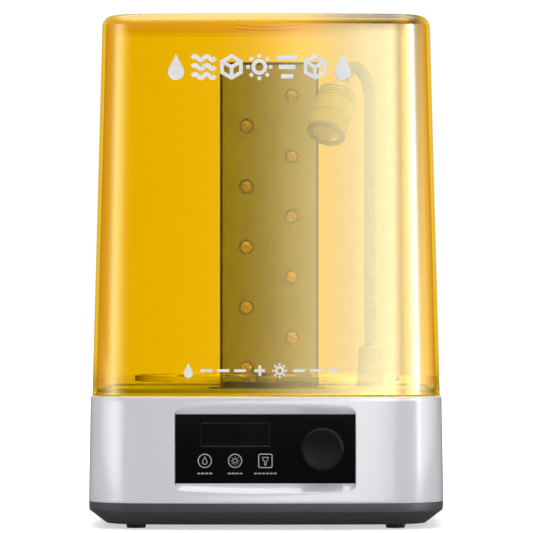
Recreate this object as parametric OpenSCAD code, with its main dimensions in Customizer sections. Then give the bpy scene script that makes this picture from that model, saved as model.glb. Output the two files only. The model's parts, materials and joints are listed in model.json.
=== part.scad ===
// Wash and cure station for resin prints: a white base with a control panel, an amber
// light-filter cover, a geared turntable, a column of ultraviolet LEDs and a gooseneck lamp.
// Millimetres. +Z is up and the front faces -Y. Parts are drawn about the middle of the
// footprint, then centred() moves them so that the origin is the middle of the overall box.

/* [Overall] */
// Width of the base at the seam between casing and tray
base_w = 239; // [230:1:240]
// Depth of the base at the same seam
base_d = 222; // [221:1:226]
// Height from the table to the top of the cover
total_h = 340; // [336:1:350]
// Radius of the upright corners
corner_r = 38; // [34:1:40]
// Radius of the long arc across the front and the back
front_arc_r = 840; // [800:10:900]
// Radius of the long arc down each side
side_arc_r = 1500; // [1200:50:2000]

/* [Base] */
// Height of the tray's underside above the table
foot_h = 3; // [3:0.5:3.5]
// Height of the seam between tray and casing
seam_z = 17.5; // [17:0.5:18]
// Height of the casing's top edge, where the cover rests
ledge_z = 87.5; // [87.5:0.5:88]
// Height of the white lip that stands inside the cover's foot
lip_z = 90; // [89.8:0.1:90.2]
// Height of the deck inside the cover
deck_z = 91; // [91:0.5:91.5]
// Height of the rim round the deck
rim_z = 92.6; // [92.4:0.1:93]
// Thickness of the moulded walls
wall = 2.5; // [2:0.1:2.6]

/* [Cover] */
// How far the cover's foot stands in from the casing's widest line
cover_inset = 2.35; // [2.2:0.05:2.5]
// Draft of the cover's walls, in degrees
cover_draft = 1.53; // [1.4:0.01:1.6]
// Radius of the cover's top edge
cover_edge_r = 7; // [5:0.5:8]
// Thickness of the cover
cover_wall = 2.5; // [2:0.1:2.6]

/* [Control panel] */
// Width of the black panel
panel_w = 118.2; // [114:0.2:120]
// Height of the black panel
panel_h = 45.4; // [44:0.2:46]
// Radius of the knob
knob_r = 14; // [12:0.5:15]
// How far the front of the knob stands in front of the middle of the footprint
knob_front = 115; // [114.5:0.5:116]

/* [Turntable] */
// Radius of the clear disc
disc_r = 90; // [84:1:90]
// Tooth size of the reduction gears
gear_module = 0.8; // [0.8:0.1:0.8]
// Teeth on the gear that the magnets turn
sun_teeth = 18; // [18:6:18]
// Teeth on each planet gear
planet_teeth = 21; // [21:3:21]

/* [LED column] */
// Width of the column
column_w = 69.4; // [66:0.2:70]
// Height of the column's top above the table
column_top = 319; // [315:1:320]
// LEDs in each of the two staggered rows
leds_per_row = 5; // [3:1:5]
// Distance between LEDs in a row
led_pitch = 42.6; // [40:0.2:42.6]

/* [Gooseneck lamp] */
// Radius of the flexible tube
neck_r = 4; // [3.6:0.1:4]
// Radius of the bend at the top of the tube
bend_r = 24; // [22:1:25]
// How far the bend turns, in degrees
bend_angle = 146; // [140:1:148]
// Compass direction that the lamp leans towards, from +X, in degrees
bend_heading = 243.2; // [240:0.5:246]
// Radius of the lamp head
head_r = 13.5; // [12.5:0.5:14]

/* [Hidden] */

$fn = 48;
slip = 0.05;           // running gap between parts that slide or turn
snug = 0.02;           // gap between parts that are fixed together
through = 1;           // how far a cutter passes each face
skin = 0.01;           // thickness of the slices that a loft is hulled from

half_w = base_w / 2;
half_d = base_d / 2;
origin_shift = (knob_front - half_d) / 2;

// ---------------------------------------------------------------- rounded outline
// The plan is four long arcs joined by four corner arcs. The corner arc's centre is where
// an arc of corner_r touches both neighbours, found by substitution.
function corner_x(cy) = half_w - side_arc_r + sqrt(pow(side_arc_r - corner_r, 2) - cy * cy);
function corner_y(cx) = half_d - front_arc_r + sqrt(pow(front_arc_r - corner_r, 2) - cx * cx);
function settle(c, n) = n == 0 ? c : settle([corner_x(c.y), corner_y(c.x)], n - 1);
corner_c = settle([half_w - corner_r, half_d - corner_r], 12);
side_lean = asin(corner_c.y / (side_arc_r - corner_r));
front_lean = asin(corner_c.x / (front_arc_r - corner_r));
corner_steps = 8;
side_steps = 3;

function unit(a) = [cos(a), sin(a)];

// The quarter of the outline from +X round to +Y, moved inwards by inset.
function quarter(inset) = concat(
    [for (i = [0 : side_steps - 1])
        [half_w - side_arc_r, 0] + (side_arc_r - inset) * unit(side_lean * i / side_steps)],
    [for (i = [0 : corner_steps])
        corner_c + (corner_r - inset)
            * unit(side_lean + (90 - front_lean - side_lean) * i / corner_steps)],
    [for (i = [1 : side_steps])
        [0, half_d - front_arc_r]
            + (front_arc_r - inset) * unit(90 - front_lean * (1 - i / side_steps))]);

function outline(inset) = let (q = quarter(inset), n = len(q)) concat(
    q,
    [for (i = [n - 2 : -1 : 0]) [-q[i].x, q[i].y]],
    [for (i = [1 : n - 1]) [-q[i].x, -q[i].y]],
    [for (i = [n - 2 : -1 : 1]) [q[i].x, -q[i].y]]);

// A solid through slices of the outline. Each level is [height, inset].
module loft(levels) {
    last = len(levels) - 1;
    hull() for (i = [0 : last])
        translate([0, 0, levels[i][0] - (i == last ? skin : 0)])
            linear_extrude(height = skin) polygon(outline(levels[i][1]));
}

// A solid with upright sides, the outline moved inwards by inset.
module slab(inset, z0, z1) translate([0, 0, z0]) linear_extrude(height = z1 - z0) polygon(outline(inset));

// ---------------------------------------------------------------- small helpers
module at_z(z) translate([0, 0, z]) children();

// A cylinder along Z between two heights.
module disc(r, z0, z1) at_z(z0) cylinder(r = r, h = z1 - z0);

// A cylinder along Y at [x, z], from front to back.
module rod_y(x, z, r, y0, y1) translate([x, y1, z]) rotate([90, 0, 0]) cylinder(r = r, h = y1 - y0);

// A box between two corners.
module block(low, high) translate(low) cube(high - low);

// A rectangle with rounded corners, as points round its middle.
function rounded(w, h, r) = [for (q = [0 : 3], i = [0 : 4])
    let (sx = q == 0 || q == 3 ? 1 : -1, sy = q < 2 ? 1 : -1)
        [sx * (w / 2 - r), sy * (h / 2 - r)] + r * unit(90 * q + 22.5 * i)];

// A block along Y whose four long edges are rounded.
module rounded_y(x, z, w, h, r, y0, y1)
    translate([x, y1, z]) rotate([90, 0, 0]) linear_extrude(height = y1 - y0) polygon(rounded(w, h, r));

// Four copies, one in each quarter of the plan.
module in_corners(x, y) for (sx = [-1, 1], sy = [-1, 1]) translate([sx * x, sy * y, 0]) children();

// A cable through a list of points.
module cable(points, r) {
    for (i = [1 : len(points) - 1]) hull() {
        translate(points[i - 1]) sphere(r = r, $fn = 8);
        translate(points[i]) sphere(r = r, $fn = 8);
    }
}

// A pan-head screw, head at the origin and shank along +Z.
module screw(shank_r, head_r, head_h, length) {
    difference() {
        disc(head_r, -head_h, 0);
        disc(shank_r * 0.75, -head_h - through, -head_h * 0.45, $fn = 6);
    }
    disc(shank_r, 0, length);
}

screw_r = 1.5;
screw_head_r = 2.8;
screw_head_h = 1.9;
screw_bore_r = screw_r + snug;
screw_pass_r = 1.7;
board_screw_r = 1.25;
board_screw_head_r = 2.4;
board_screw_head_h = 1.4;

// ---------------------------------------------------------------- cover
cover_foot_z = ledge_z + slip;
function cover_t(z) = cover_inset + (z - ledge_z) * tan(cover_draft);
edge_steps = 6;

// Levels of the cover's outside, or of its inside when thickness is the wall.
function cover_levels(thickness) = let (z_edge = total_h - cover_edge_r, r = cover_edge_r - thickness)
    concat(
        [[thickness > 0 ? cover_foot_z - through : cover_foot_z, cover_t(cover_foot_z) + thickness]],
        [for (i = [0 : edge_steps]) let (a = 90 * i / edge_steps)
            [z_edge + r * sin(a), cover_t(z_edge) + thickness + r * (1 - cos(a))]]);

magnet_x = -20;
magnet_y = half_d - 8.6;
magnet_r = 3;
magnet_boss_z = rim_z + 0.8;
dish_r = 21;
dish_depth = 0.8;

module cover() {
    color("orange", 0.6) {
        difference() {
            loft(cover_levels(0));
            loft(cover_levels(cover_wall));
            disc(dish_r, total_h - dish_depth, total_h + through);
        }
        difference() {
            block([magnet_x - 5, magnet_y - 4, magnet_boss_z],
                  [magnet_x + 5, magnet_y + 4.2, magnet_boss_z + 9]);
            translate([magnet_x, magnet_y, 0])
                disc(magnet_r + snug, magnet_boss_z - through, magnet_boss_z + 2.2);
        }
    }
}

module cover_magnet() {
    color("silver") translate([magnet_x, magnet_y, 0])
        disc(magnet_r, magnet_boss_z + 0.1, magnet_boss_z + 2.1);
}

// ---------------------------------------------------------------- panel positions
panel_mid_z = 53.2;
panel_face = half_d - 6.5;             // the panel's front face is at -panel_face
panel_t = 1.55;
pocket_floor = panel_face - panel_t - slip;
pocket_back = pocket_floor - 2.5;
window_x = -19.6;
window_z = 62.5;
window_w = 45;
window_h = 15.6;
icon_x = [-39.7, -19.8, 0.1];
icon_z = 45.3;
knob_x = 37.6;
knob_z = 52.9;
recess_rise = 8;                       // height that the recess gains above and below the panel
recess_corner_r = 6;
control_post_x = 54;
control_post_z = 18.6;

// The scoop in the front of the casing, sloping away from the panel above and below.
module panel_recess() {
    hull() {
        block([-panel_w / 2 - 0.3, -panel_face, panel_mid_z - panel_h / 2 - 0.3],
              [panel_w / 2 + 0.3, -panel_face + skin, panel_mid_z + panel_h / 2 + 0.3]);
        for (sx = [-1, 1], sz = [-1, 1])
            rod_y(sx * (panel_w / 2 - recess_corner_r + 0.5),
                  panel_mid_z + sz * (panel_h / 2 + recess_rise - recess_corner_r),
                  recess_corner_r, -panel_face - recess_rise, -panel_face - recess_rise + skin);
    }
    block([-panel_w / 2 - 0.1, -panel_face - 2, panel_mid_z - panel_h / 2 - 0.1],
          [panel_w / 2 + 0.1, -pocket_floor, panel_mid_z + panel_h / 2 + 0.1]);
}

// ---------------------------------------------------------------- back panel positions
back_pad_x = 45;
back_pad_w = 56;
back_pad_z = 46;
back_pad_h = 36;
back_pad_y = half_d - 4;
switch_x = 34;
jack_x = 60;
switch_w = 13;
switch_h = 19;
jack_body_r = 5.4;
nut_gap = 0.6;                         // between the jack's nut and the curved wall
vent_count = 9;
vent_pitch = 6;

// ---------------------------------------------------------------- casing
casing_draft = 1.2;                    // inset gained from the seam to just below the top edge
casing_edge = 0.8;                     // rounding of the casing's top edge
ledge_t = 2.5;
opening_inset = 8;
deck_inset = 5.4;
post_r = 4.5;
post_reach = 22;                       // distance of the screw posts from the corner arc's centre
post_x = corner_c.x + post_reach * cos(45);
post_y = corner_c.y + post_reach * sin(45);
post_foot_z = seam_z + 2.6;
deck_tab_x = 66;
deck_tab_y = half_d - 15.5;
tab_z = ledge_z - ledge_t - 0.4;

module casing() {
    color("whitesmoke") {
        difference() {
            union() {
                difference() {
                    loft([[seam_z, 0], [ledge_z - casing_edge, casing_draft],
                          [ledge_z, casing_draft + casing_edge]]);
                    slab(wall + casing_draft, seam_z - through, ledge_z - ledge_t);
                    slab(opening_inset, ledge_z - ledge_t - through, ledge_z + through);
                }
                difference() {
                    slab(deck_inset, ledge_z - 1, lip_z);
                    slab(opening_inset, ledge_z - 2, lip_z + through);
                }
                // thicker wall behind the panel and behind the sockets
                block([-panel_w / 2 - 3, -half_d + 3.5, 26], [panel_w / 2 + 3, -pocket_back, 81]);
                block([back_pad_x - back_pad_w / 2 - 2, back_pad_y - wall, back_pad_z - back_pad_h / 2 - 1],
                      [back_pad_x + back_pad_w / 2, half_d - 4.2, back_pad_z + back_pad_h / 2 + 1]);
                control_posts();
                deck_tabs();
            }
            panel_recess();
            panel_holes();
            back_holes();
        }
        tray_posts();
    }
}

module control_posts() {
    for (sx = [-1, 1], sz = [-1, 1])
        difference() {
            rod_y(sx * control_post_x, panel_mid_z + sz * control_post_z, 3,
                  -pocket_back - 0.5, control_board_y - slip);
            rod_y(sx * control_post_x, panel_mid_z + sz * control_post_z, board_screw_r + snug,
                  -pocket_back, control_board_y);
        }
}

module panel_holes() {
    y0 = -pocket_floor - through;
    y1 = -pocket_back + through;
    block([window_x - 23, y0, window_z - 8.5], [window_x + 23, y1, window_z + 8.5]);
    for (x = icon_x) rod_y(x, icon_z, 2.6, y0, y1);
    rod_y(knob_x, knob_z, 4.6, y0, y1);
}

module back_holes() {
    rounded_y(back_pad_x, back_pad_z, back_pad_w, back_pad_h, 4, back_pad_y, half_d + through);
    block([switch_x - switch_w / 2 - 0.1, back_pad_y - wall - through, back_pad_z - switch_h / 2 - 0.1],
          [switch_x + switch_w / 2 + 0.1, back_pad_y + through, back_pad_z + switch_h / 2 + 0.1]);
    rod_y(jack_x, back_pad_z, jack_body_r + 0.1, back_pad_y - wall - through, back_pad_y + through);
    for (i = [0 : vent_count - 1])
        block([-18 - i * vent_pitch, half_d - 12, back_pad_z - 13],
              [-15.6 - i * vent_pitch, half_d + through, back_pad_z + 13]);
}

// Tabs on the casing's opening that the deck is screwed down to.
module deck_tabs() {
    for (sx = [-1, 1], sy = [-1, 1]) translate([sx * deck_tab_x, sy * deck_tab_y, 0])
        difference() {
            block([-6, sy > 0 ? -5 : -7, tab_z], [6, sy > 0 ? 7 : 5, ledge_z - 0.1]);
            disc(screw_pass_r, tab_z - through, ledge_z + through);
        }
}

// Posts in the corners that the tray is screwed up into, each with a rib to the wall.
module tray_posts() {
    for (sx = [-1, 1], sy = [-1, 1]) translate([sx * corner_c.x, sy * corner_c.y, 0])
        rotate([0, 0, atan2(sy, sx)]) difference() {
            union() {
                translate([post_reach, 0, 0]) disc(post_r, post_foot_z, 60);
                block([post_reach, -1.5, post_foot_z + 0.5], [corner_r - wall - 1, 1.5, 59]);
            }
            translate([post_reach, 0, 0]) disc(screw_bore_r, post_foot_z - through, post_foot_z + 16);
        }
}

// ---------------------------------------------------------------- tray and feet
tray_bottom_inset = 11;
tray_edge_z = 11.8;                    // where the upright band turns into the sloping underside
tray_floor_t = 2.4;
tongue_inset = wall + casing_draft + 0.3;
foot_x = 86;
foot_y = 78;
foot_r = 6.8;
board_x0 = -98;
board_x1 = -2;
board_y0 = 14;
board_y1 = 74;
board_z = 12.5;
board_t = 1.6;
board_post_inset = 4.5;

module bottom_tray() {
    color("dimgray") difference() {
        union() {
            difference() {
                loft([[foot_h, tray_bottom_inset + 1.5], [foot_h + 0.7, tray_bottom_inset],
                      [tray_edge_z, 0.25], [seam_z, 0.05]]);
                loft([[foot_h + tray_floor_t, tray_bottom_inset + 1.2], [tray_edge_z + 0.5, wall],
                      [seam_z + through, wall - 0.01]]);
            }
            // tongue that locates the casing
            difference() {
                slab(tongue_inset, tray_edge_z - 1.8, seam_z + 2);
                slab(tongue_inset + 1.5, tray_edge_z - 3, seam_z + 3);
            }
            in_corners(post_x, post_y) disc(post_r, foot_h + 1, post_foot_z - slip);
            board_posts() disc(3, foot_h + 1, board_z - slip);
        }
        in_corners(post_x, post_y) {
            disc(screw_pass_r, foot_h - through, post_foot_z + through);
            disc(screw_head_r + 0.4, foot_h - through, foot_h + screw_head_h + 0.6);
        }
        in_corners(foot_x, foot_y) disc(2.6, foot_h - through, foot_h + tray_floor_t + through);
        board_posts() disc(board_screw_r + snug, foot_h + 2, board_z + through);
        for (i = [0 : 10])
            block([14 + i * 6, -58, foot_h - through], [16.4 + i * 6, -22, foot_h + tray_floor_t + through]);
    }
}

module board_posts() {
    for (x = [board_x0 + board_post_inset, board_x1 - board_post_inset],
         y = [board_y0 + board_post_inset, board_y1 - board_post_inset])
        translate([x, y, 0]) children();
}

module feet() {
    color("#202020") in_corners(foot_x, foot_y) {
        cylinder(r1 = foot_r - 0.7, r2 = foot_r, h = foot_h - slip);
        disc(2.5, foot_h - slip - 0.1, foot_h + tray_floor_t + 1.2);
    }
}

// ---------------------------------------------------------------- deck
table_y = -10;                         // the turntable's axis is at [0, table_y]
well_r = 33;
well_floor = 85;
well_wall = 1.8;
bracket_z = 63.5;
bracket_t = 1.5;
bracket_x = 36;
bracket_y = 22;
lamp_x = 71;
lamp_y = 80;
column_front_y = 84;
column_depth = 13;
column_back_y = column_front_y + column_depth;
column_bolt_x = 24;
column_bolt_y = column_front_y + 7;

module about_table() translate([0, table_y, 0]) children();

module deck_plate() {
    color("#3c3e42") difference() {
        union() {
            difference() {
                slab(deck_inset, lip_z + slip, rim_z);
                slab(opening_inset + 2, lip_z - through, rim_z + through);
            }
            slab(opening_inset + slip, deck_z - wall, deck_z);
            about_table() {
                disc(well_r + well_wall, well_floor - well_wall, deck_z - 1);
                in_corners(bracket_x, bracket_y) disc(4, bracket_z + bracket_t + snug, deck_z - 1);
            }
            in_corners(deck_tab_x, deck_tab_y) disc(4, ledge_z + slip + 0.1, deck_z - 1);
        }
        about_table() {
            disc(well_r, well_floor, deck_z + through);
            in_corners(bracket_x, bracket_y) disc(screw_bore_r, bracket_z - through, bracket_z + 12);
        }
        in_corners(deck_tab_x, deck_tab_y) disc(screw_bore_r, ledge_z - through, deck_z - 1);
        translate([lamp_x, lamp_y, 0]) disc(3, deck_z - wall - through, deck_z + through);
        translate([0, column_bolt_y, 0]) disc(4, deck_z - wall - through, deck_z + through);
        for (sx = [-1, 1]) translate([sx * column_bolt_x, column_bolt_y, 0])
            disc(screw_pass_r, deck_z - wall - through, deck_z + through);
    }
}

module cover_sensor() {
    color("#1d5c34")
        block([magnet_x - 6, magnet_y - 6.5, deck_z - wall - 9],
              [magnet_x + 6, magnet_y - 5.3, deck_z - wall - 0.2]);
    color("#151515")
        block([magnet_x - 2, magnet_y - 5.2, deck_z - wall - 4],
              [magnet_x + 2, magnet_y - 3.6, deck_z - wall - 0.4]);
}

// ---------------------------------------------------------------- control panel
module front_panel() {
    color("#0b0b0c") difference() {
        block([-panel_w / 2, -panel_face, panel_mid_z - panel_h / 2],
              [panel_w / 2, -panel_face + panel_t, panel_mid_z + panel_h / 2]);
        block([window_x - window_w / 2 - snug, -panel_face - through, window_z - window_h / 2 - snug],
              [window_x + window_w / 2 + snug, -panel_face + 2 * panel_t, window_z + window_h / 2 + snug]);
        rod_y(knob_x, knob_z, 4.7, -panel_face - through, -panel_face + 2 * panel_t);
    }
}

module display_window() {
    color("#17181b", 0.8) block([window_x - window_w / 2, -panel_face, window_z - window_h / 2],
                                [window_x + window_w / 2, -panel_face + panel_t - 0.1, window_z + window_h / 2]);
}

display_y = -panel_face + panel_t + 0.1;
control_board_y = -94.5;
control_board_t = 1.6;

module display_module() {
    color("#202226")
        block([window_x - 22.4, display_y, window_z - 7.4],
              [window_x + 22.4, control_board_y - slip, window_z + 7.4]);
}

digit_h = 10.4;
digit_w = 6;
digit_pitch = 9.6;
stroke = 1.15;

// One bar of a digit, pointed at both ends, lying along X.
module segment_bar(length) {
    linear_extrude(height = 0.08)
        polygon([[-length / 2, 0], [-length / 2 + stroke / 2, stroke / 2],
                 [length / 2 - stroke / 2, stroke / 2], [length / 2, 0],
                 [length / 2 - stroke / 2, -stroke / 2], [-length / 2 + stroke / 2, -stroke / 2]]);
}

module digit() {
    bar = digit_w - 0.3;
    side = digit_h / 2 - 0.3;
    for (y = [-1, 0, 1]) translate([0, y * digit_h / 2, 0]) segment_bar(bar);
    for (x = [-1, 1], y = [-1, 1])
        translate([x * digit_w / 2, y * digit_h / 4, 0]) rotate([0, 0, 90]) segment_bar(side);
}

// Four seven-bar digits with a colon between the pairs, on the front of the display.
module display_segments() {
    color("#3d4046") translate([window_x, display_y - 0.005, window_z]) rotate([90, 0, 0]) {
        for (i = [-1.5, -0.5, 0.5, 1.5]) translate([i * digit_pitch + (i > 0 ? 1 : -1), 0, 0]) digit();
        for (y = [-1, 1]) translate([0, y * 2.4, 0]) cylinder(r = 0.6, h = 0.08);
    }
}

module icon_light_guides() {
    color("#e8e8e8") for (x = icon_x) rod_y(x, icon_z, 2.5, -pocket_floor + slip, control_board_y - 1.2);
}

module control_board() {
    y1 = control_board_y + control_board_t;
    color("#1d5c34") difference() {
        block([-57.5, control_board_y, panel_mid_z - 22], [57.5, y1, panel_mid_z + 22]);
        for (sx = [-1, 1], sz = [-1, 1])
            rod_y(sx * control_post_x, panel_mid_z + sz * control_post_z, board_screw_r + 0.2,
                  control_board_y - through, y1 + through);
    }
    color("#151515") {
        block([-30, y1 - 0.1, panel_mid_z - 4], [-20, y1 + 1.6, panel_mid_z + 6]);
        block([-2, y1 - 0.1, panel_mid_z - 12], [16, y1 + 5, panel_mid_z - 7]);
    }
    color("#f0e6c0") for (x = icon_x)
        block([x - 1.4, control_board_y - 1.1, icon_z - 1], [x + 1.4, control_board_y + 0.1, icon_z + 1]);
}

encoder_front = -pocket_back + 0.2;
shaft_r = 3;
shaft_back = -96.45;
encoder_floor = -95.2;
knob_gap = 0.8;

module encoder_body() {
    color("silver") difference() {
        union() {
            block([knob_x - 6.5, encoder_front, knob_z - 6.5],
                  [knob_x + 6.5, control_board_y - slip, knob_z + 6.5]);
            rod_y(knob_x, knob_z, 4.4, -panel_face - 1.4, encoder_front + 0.1);
        }
        rod_y(knob_x, knob_z, shaft_r + slip, -panel_face - 1.4 - through, encoder_floor);
    }
}

module encoder_plunger() {
    color("ivory") rod_y(knob_x, knob_z, 2.6, shaft_back + slip, shaft_back + slip + 0.6);
}

module encoder_shaft() {
    color("silver") rod_y(knob_x, knob_z, shaft_r, -knob_front + 3, shaft_back);
}

module knob() {
    knob_back = -panel_face - knob_gap;
    color("#101011") translate([knob_x, knob_back, knob_z]) rotate([90, 0, 0])
        difference() {
            union() {
                difference() {
                    union() {
                        disc(knob_r, 0, knob_front + knob_back - 1.1);
                        at_z(knob_front + knob_back - 1.1) cylinder(r1 = knob_r, r2 = knob_r - 1.1, h = 1.1);
                    }
                    disc(knob_r - 1.8, -through, knob_front + knob_back - 2);
                }
                disc(5.4, 1.8, knob_front + knob_back - 1.5);
            }
            disc(shaft_r + snug, -through, knob_front + knob_back - 2.9);
        }
}

// ---------------------------------------------------------------- drive in the base
motor_r = 18.5;
motor_h = 30;
motor_shaft_r = 2;
shaft_foot = 54;
rotor_z = 73.5;
rotor_top = 80;
rotor_r = 26;
magnet_ring_r = 18;
rotor_magnet_r = 5;

module around(n, r) for (i = [0 : n - 1]) rotate([0, 0, 360 * i / n]) translate([r, 0, 0]) children();

module motor_can() {
    color("silver") about_table() difference() {
        union() {
            disc(motor_r, bracket_z - motor_h, bracket_z - snug);
            disc(6, bracket_z - 1, bracket_z + bracket_t);
        }
        disc(motor_shaft_r + slip, shaft_foot - 0.5, bracket_z + bracket_t + through);
        around(2, 12.5) disc(screw_bore_r, bracket_z - 4.5, bracket_z + through);
        for (a = [45, 135, 225, 315]) rotate([0, 0, a]) translate([motor_r, 0, 0])
            disc(1.2, bracket_z - motor_h - through, bracket_z - motor_h + 6);
    }
}

module motor_shaft() {
    color("lightgray") about_table() disc(motor_shaft_r, shaft_foot, rotor_top - 1);
}

module motor_bracket() {
    color("#9a9ea3") about_table() difference() {
        block([-42, -28, bracket_z], [42, 28, bracket_z + bracket_t]);
        disc(6 + snug, bracket_z - through, bracket_z + 3);
        around(2, 12.5) disc(screw_pass_r, bracket_z - through, bracket_z + 3);
        in_corners(bracket_x, bracket_y) disc(screw_pass_r, bracket_z - through, bracket_z + 3);
    }
}

module magnet_rotor() {
    color("#e0ddd2") about_table() difference() {
        union() {
            disc(rotor_r, rotor_z, rotor_top);
            disc(7, rotor_z - 3.5, rotor_z + 0.1);
        }
        disc(motor_shaft_r + snug, rotor_z - 4, rotor_top + through);
        around(4, magnet_ring_r) disc(rotor_magnet_r + snug, rotor_top - 5, rotor_top + through);
    }
}

module rotor_magnets() {
    color("silver") about_table() around(4, magnet_ring_r)
        disc(rotor_magnet_r, rotor_top - 5 + snug, rotor_top - 0.1);
}

// ---------------------------------------------------------------- gears
pressure_angle = 20;
tooth_slack = 0.06;                    // how far each flank stands back from its true line
flank_steps = 4;
ring_teeth = sun_teeth + 2 * planet_teeth;
planet_orbit = gear_module * (sun_teeth + planet_teeth) / 2;
planet_pin_r = 1.5;
gear_z0 = 92.6;
gear_z1 = 95;

function involute_of(a) = tan(a) * 180 / PI - a;

// Half the angle that a tooth spans at radius r.
function half_tooth(teeth, r, slack) =
    let (pitch_r = gear_module * teeth / 2, base_r = pitch_r * cos(pressure_angle))
        90 / teeth - slack / pitch_r * 180 / PI
            + involute_of(pressure_angle) - involute_of(acos(min(1, base_r / r)));

// A spur gear's outline from its root radius to its tip radius. A ring gear's space is the
// same shape with a negative slack.
module gear_outline(teeth, root_r, tip_r, slack) {
    base_r = gear_module * teeth / 2 * cos(pressure_angle);
    flank_start = max(root_r, base_r);
    flank_r = [for (i = [0 : flank_steps]) flank_start + (tip_r - flank_start) * i / flank_steps];
    rise = [for (r = flank_r) [r, half_tooth(teeth, r, slack)]];
    root = [root_r, half_tooth(teeth, flank_r[0], slack)];
    tooth = concat([root], rise);
    polygon([for (k = [0 : teeth - 1], side = [-1, 1], i = [0 : len(tooth) - 1])
        let (p = side < 0 ? tooth[i] : tooth[len(tooth) - 1 - i])
            p[0] * unit(360 * k / teeth + side * p[1])]);
}

module gear(teeth, z0, z1) {
    pitch_r = gear_module * teeth / 2;
    at_z(z0) linear_extrude(height = z1 - z0)
        gear_outline(teeth, pitch_r - 1.25 * gear_module, pitch_r + gear_module, tooth_slack);
}

// ---------------------------------------------------------------- turntable drive
base_foot = well_floor + slip;
drive_r = 31.75;
drive_top = 95.2;
flange_r = 39.7;
step_z = deck_z + slip;
plate_r = 30.1;
pin_r = 2;
carrier_z0 = 87.3;
carrier_z1 = 90.4;
carrier_magnet_r = 4.5;

module drive_base() {
    color("#c9cbcd") about_table() difference() {
        union() {
            disc(drive_r, base_foot, drive_top);
            disc(flange_r, step_z, step_z + 1);
        }
        disc(plate_r + 0.1, step_z, drive_top + through);
        difference() {
            disc(plate_r - 1.7, base_foot + 1.5, step_z + through);
            disc(4.5, base_foot + 1, base_foot + 2.1);
        }
        disc(pin_r + snug, base_foot + 0.3, base_foot + 3);
    }
}

module centre_pin() {
    color("lightgray") about_table() disc(pin_r, base_foot + 0.4, 100.8);
}

module magnet_carrier() {
    color("#e0ddd2") about_table() difference() {
        union() {
            disc(24, carrier_z0, carrier_z1);
            disc(4.4, carrier_z1 - 0.1, gear_z0 + 0.1);
            gear(sun_teeth, gear_z0, gear_z1);
        }
        disc(pin_r + slip, carrier_z0 - through, gear_z1 + through);
        around(4, magnet_ring_r) disc(carrier_magnet_r + snug, carrier_z0 - through, carrier_z0 + 2.4);
    }
}

module carrier_magnets() {
    color("silver") about_table() around(4, magnet_ring_r)
        disc(carrier_magnet_r, carrier_z0 + 0.05, carrier_z0 + 2.35);
}

module planet_plate() {
    color("#d8d9da") about_table() difference() {
        union() {
            disc(plate_r, step_z + snug, step_z + 1.25);
            around(3, planet_orbit) disc(planet_pin_r, step_z + 1, gear_z1 + 0.4);
        }
        disc(8.7, step_z - through, step_z + 3);
    }
}

module planet_gear(i) {
    color("#efe9d8") about_table() rotate([0, 0, 120 * i]) translate([planet_orbit, 0, 0])
        difference() {
            gear(planet_teeth, gear_z0, gear_z1);
            disc(planet_pin_r + slip, gear_z0 - through, gear_z1 + through);
        }
}

// ---------------------------------------------------------------- turntable
hub_z0 = 96;
hub_z1 = 97.2;
bearing_z0 = 97;
bearing_z1 = 101;
bearing_r = 4.5;
ball_r = 0.8;
ball_orbit = 3.4;
disc_z0 = hub_z1 + slip;
disc_t = 2.5;
rim_w = 2.2;

module turntable_hub() {
    ring_pitch_r = gear_module * ring_teeth / 2;
    color("#d8d9da") about_table() difference() {
        union() {
            disc(28.2, gear_z0 + 0.1, hub_z1);
            disc(34, hub_z0, hub_z1);
            disc(8, hub_z1 - 0.1, bearing_z1);
        }
        at_z(gear_z0 - through) linear_extrude(height = hub_z0 - gear_z0 + through)
            gear_outline(ring_teeth, ring_pitch_r - gear_module, ring_pitch_r + 1.25 * gear_module, -tooth_slack);
        disc(pin_r + 0.3, hub_z0 - through, bearing_z1);
        disc(bearing_r + snug, bearing_z0, bearing_z1 + through);
    }
}

module turntable_disc() {
    color("lightyellow", 0.5) about_table() difference() {
        union() {
            disc(disc_r - rim_w + 0.1, disc_z0, disc_z0 + disc_t);
            difference() {
                disc(disc_r, disc_z0 - 0.9, disc_z0 + disc_t + 0.6);
                disc(disc_r - rim_w, disc_z0 - through, disc_z0 + disc_t + through);
            }
            for (r = [30, 60]) difference() {
                disc(r + 0.6, disc_z0 + disc_t - 0.1, disc_z0 + disc_t + 0.4);
                disc(r - 0.6, disc_z0 + disc_t - 0.2, disc_z0 + disc_t + through);
            }
        }
        disc(8 + snug, disc_z0 - through, disc_z0 + disc_t + through);
    }
}

module hub_cap() {
    color("#c9cbcd") about_table() {
        disc(9.5, bearing_z1 + slip, bearing_z1 + 0.9);
        at_z(bearing_z1 + 0.9) cylinder(r1 = 9.5, r2 = 8.7, h = 0.6);
    }
}

module ball_groove() at_z((bearing_z0 + bearing_z1) / 2)
    rotate_extrude() translate([ball_orbit, 0]) circle(r = ball_r + 0.03);

module bearing_outer_race() {
    color("silver") about_table() {
        difference() {
            disc(bearing_r, bearing_z0 + 0.1, bearing_z1 - 0.1);
            disc(3.9, bearing_z0, bearing_z1);
            ball_groove();
        }
        around(7, ball_orbit) at_z((bearing_z0 + bearing_z1) / 2) sphere(r = ball_r);
    }
}

module bearing_inner_race() {
    color("silver") about_table() difference() {
        disc(2.9, bearing_z0 + 0.1, bearing_z1 - 0.1);
        disc(pin_r + snug, bearing_z0, bearing_z1);
        ball_groove();
    }
}

// ---------------------------------------------------------------- LED column
column_wall = 1.6;
led_x = 16;
led_top_z = 295.3;
led_hole_r = 5.2;
lens_r = 4.9;
led_board_y = column_front_y + 5.4;
led_board_t = 1.6;
column_low = deck_z + slip;

// Each LED's place, as [x, z]: the right row is half a pitch above the left.
led_places = [for (side = [1, -1], i = [0 : leds_per_row - 1])
    [side * led_x, led_top_z - led_pitch * (i + (side > 0 ? 0 : 0.5))]];

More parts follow.
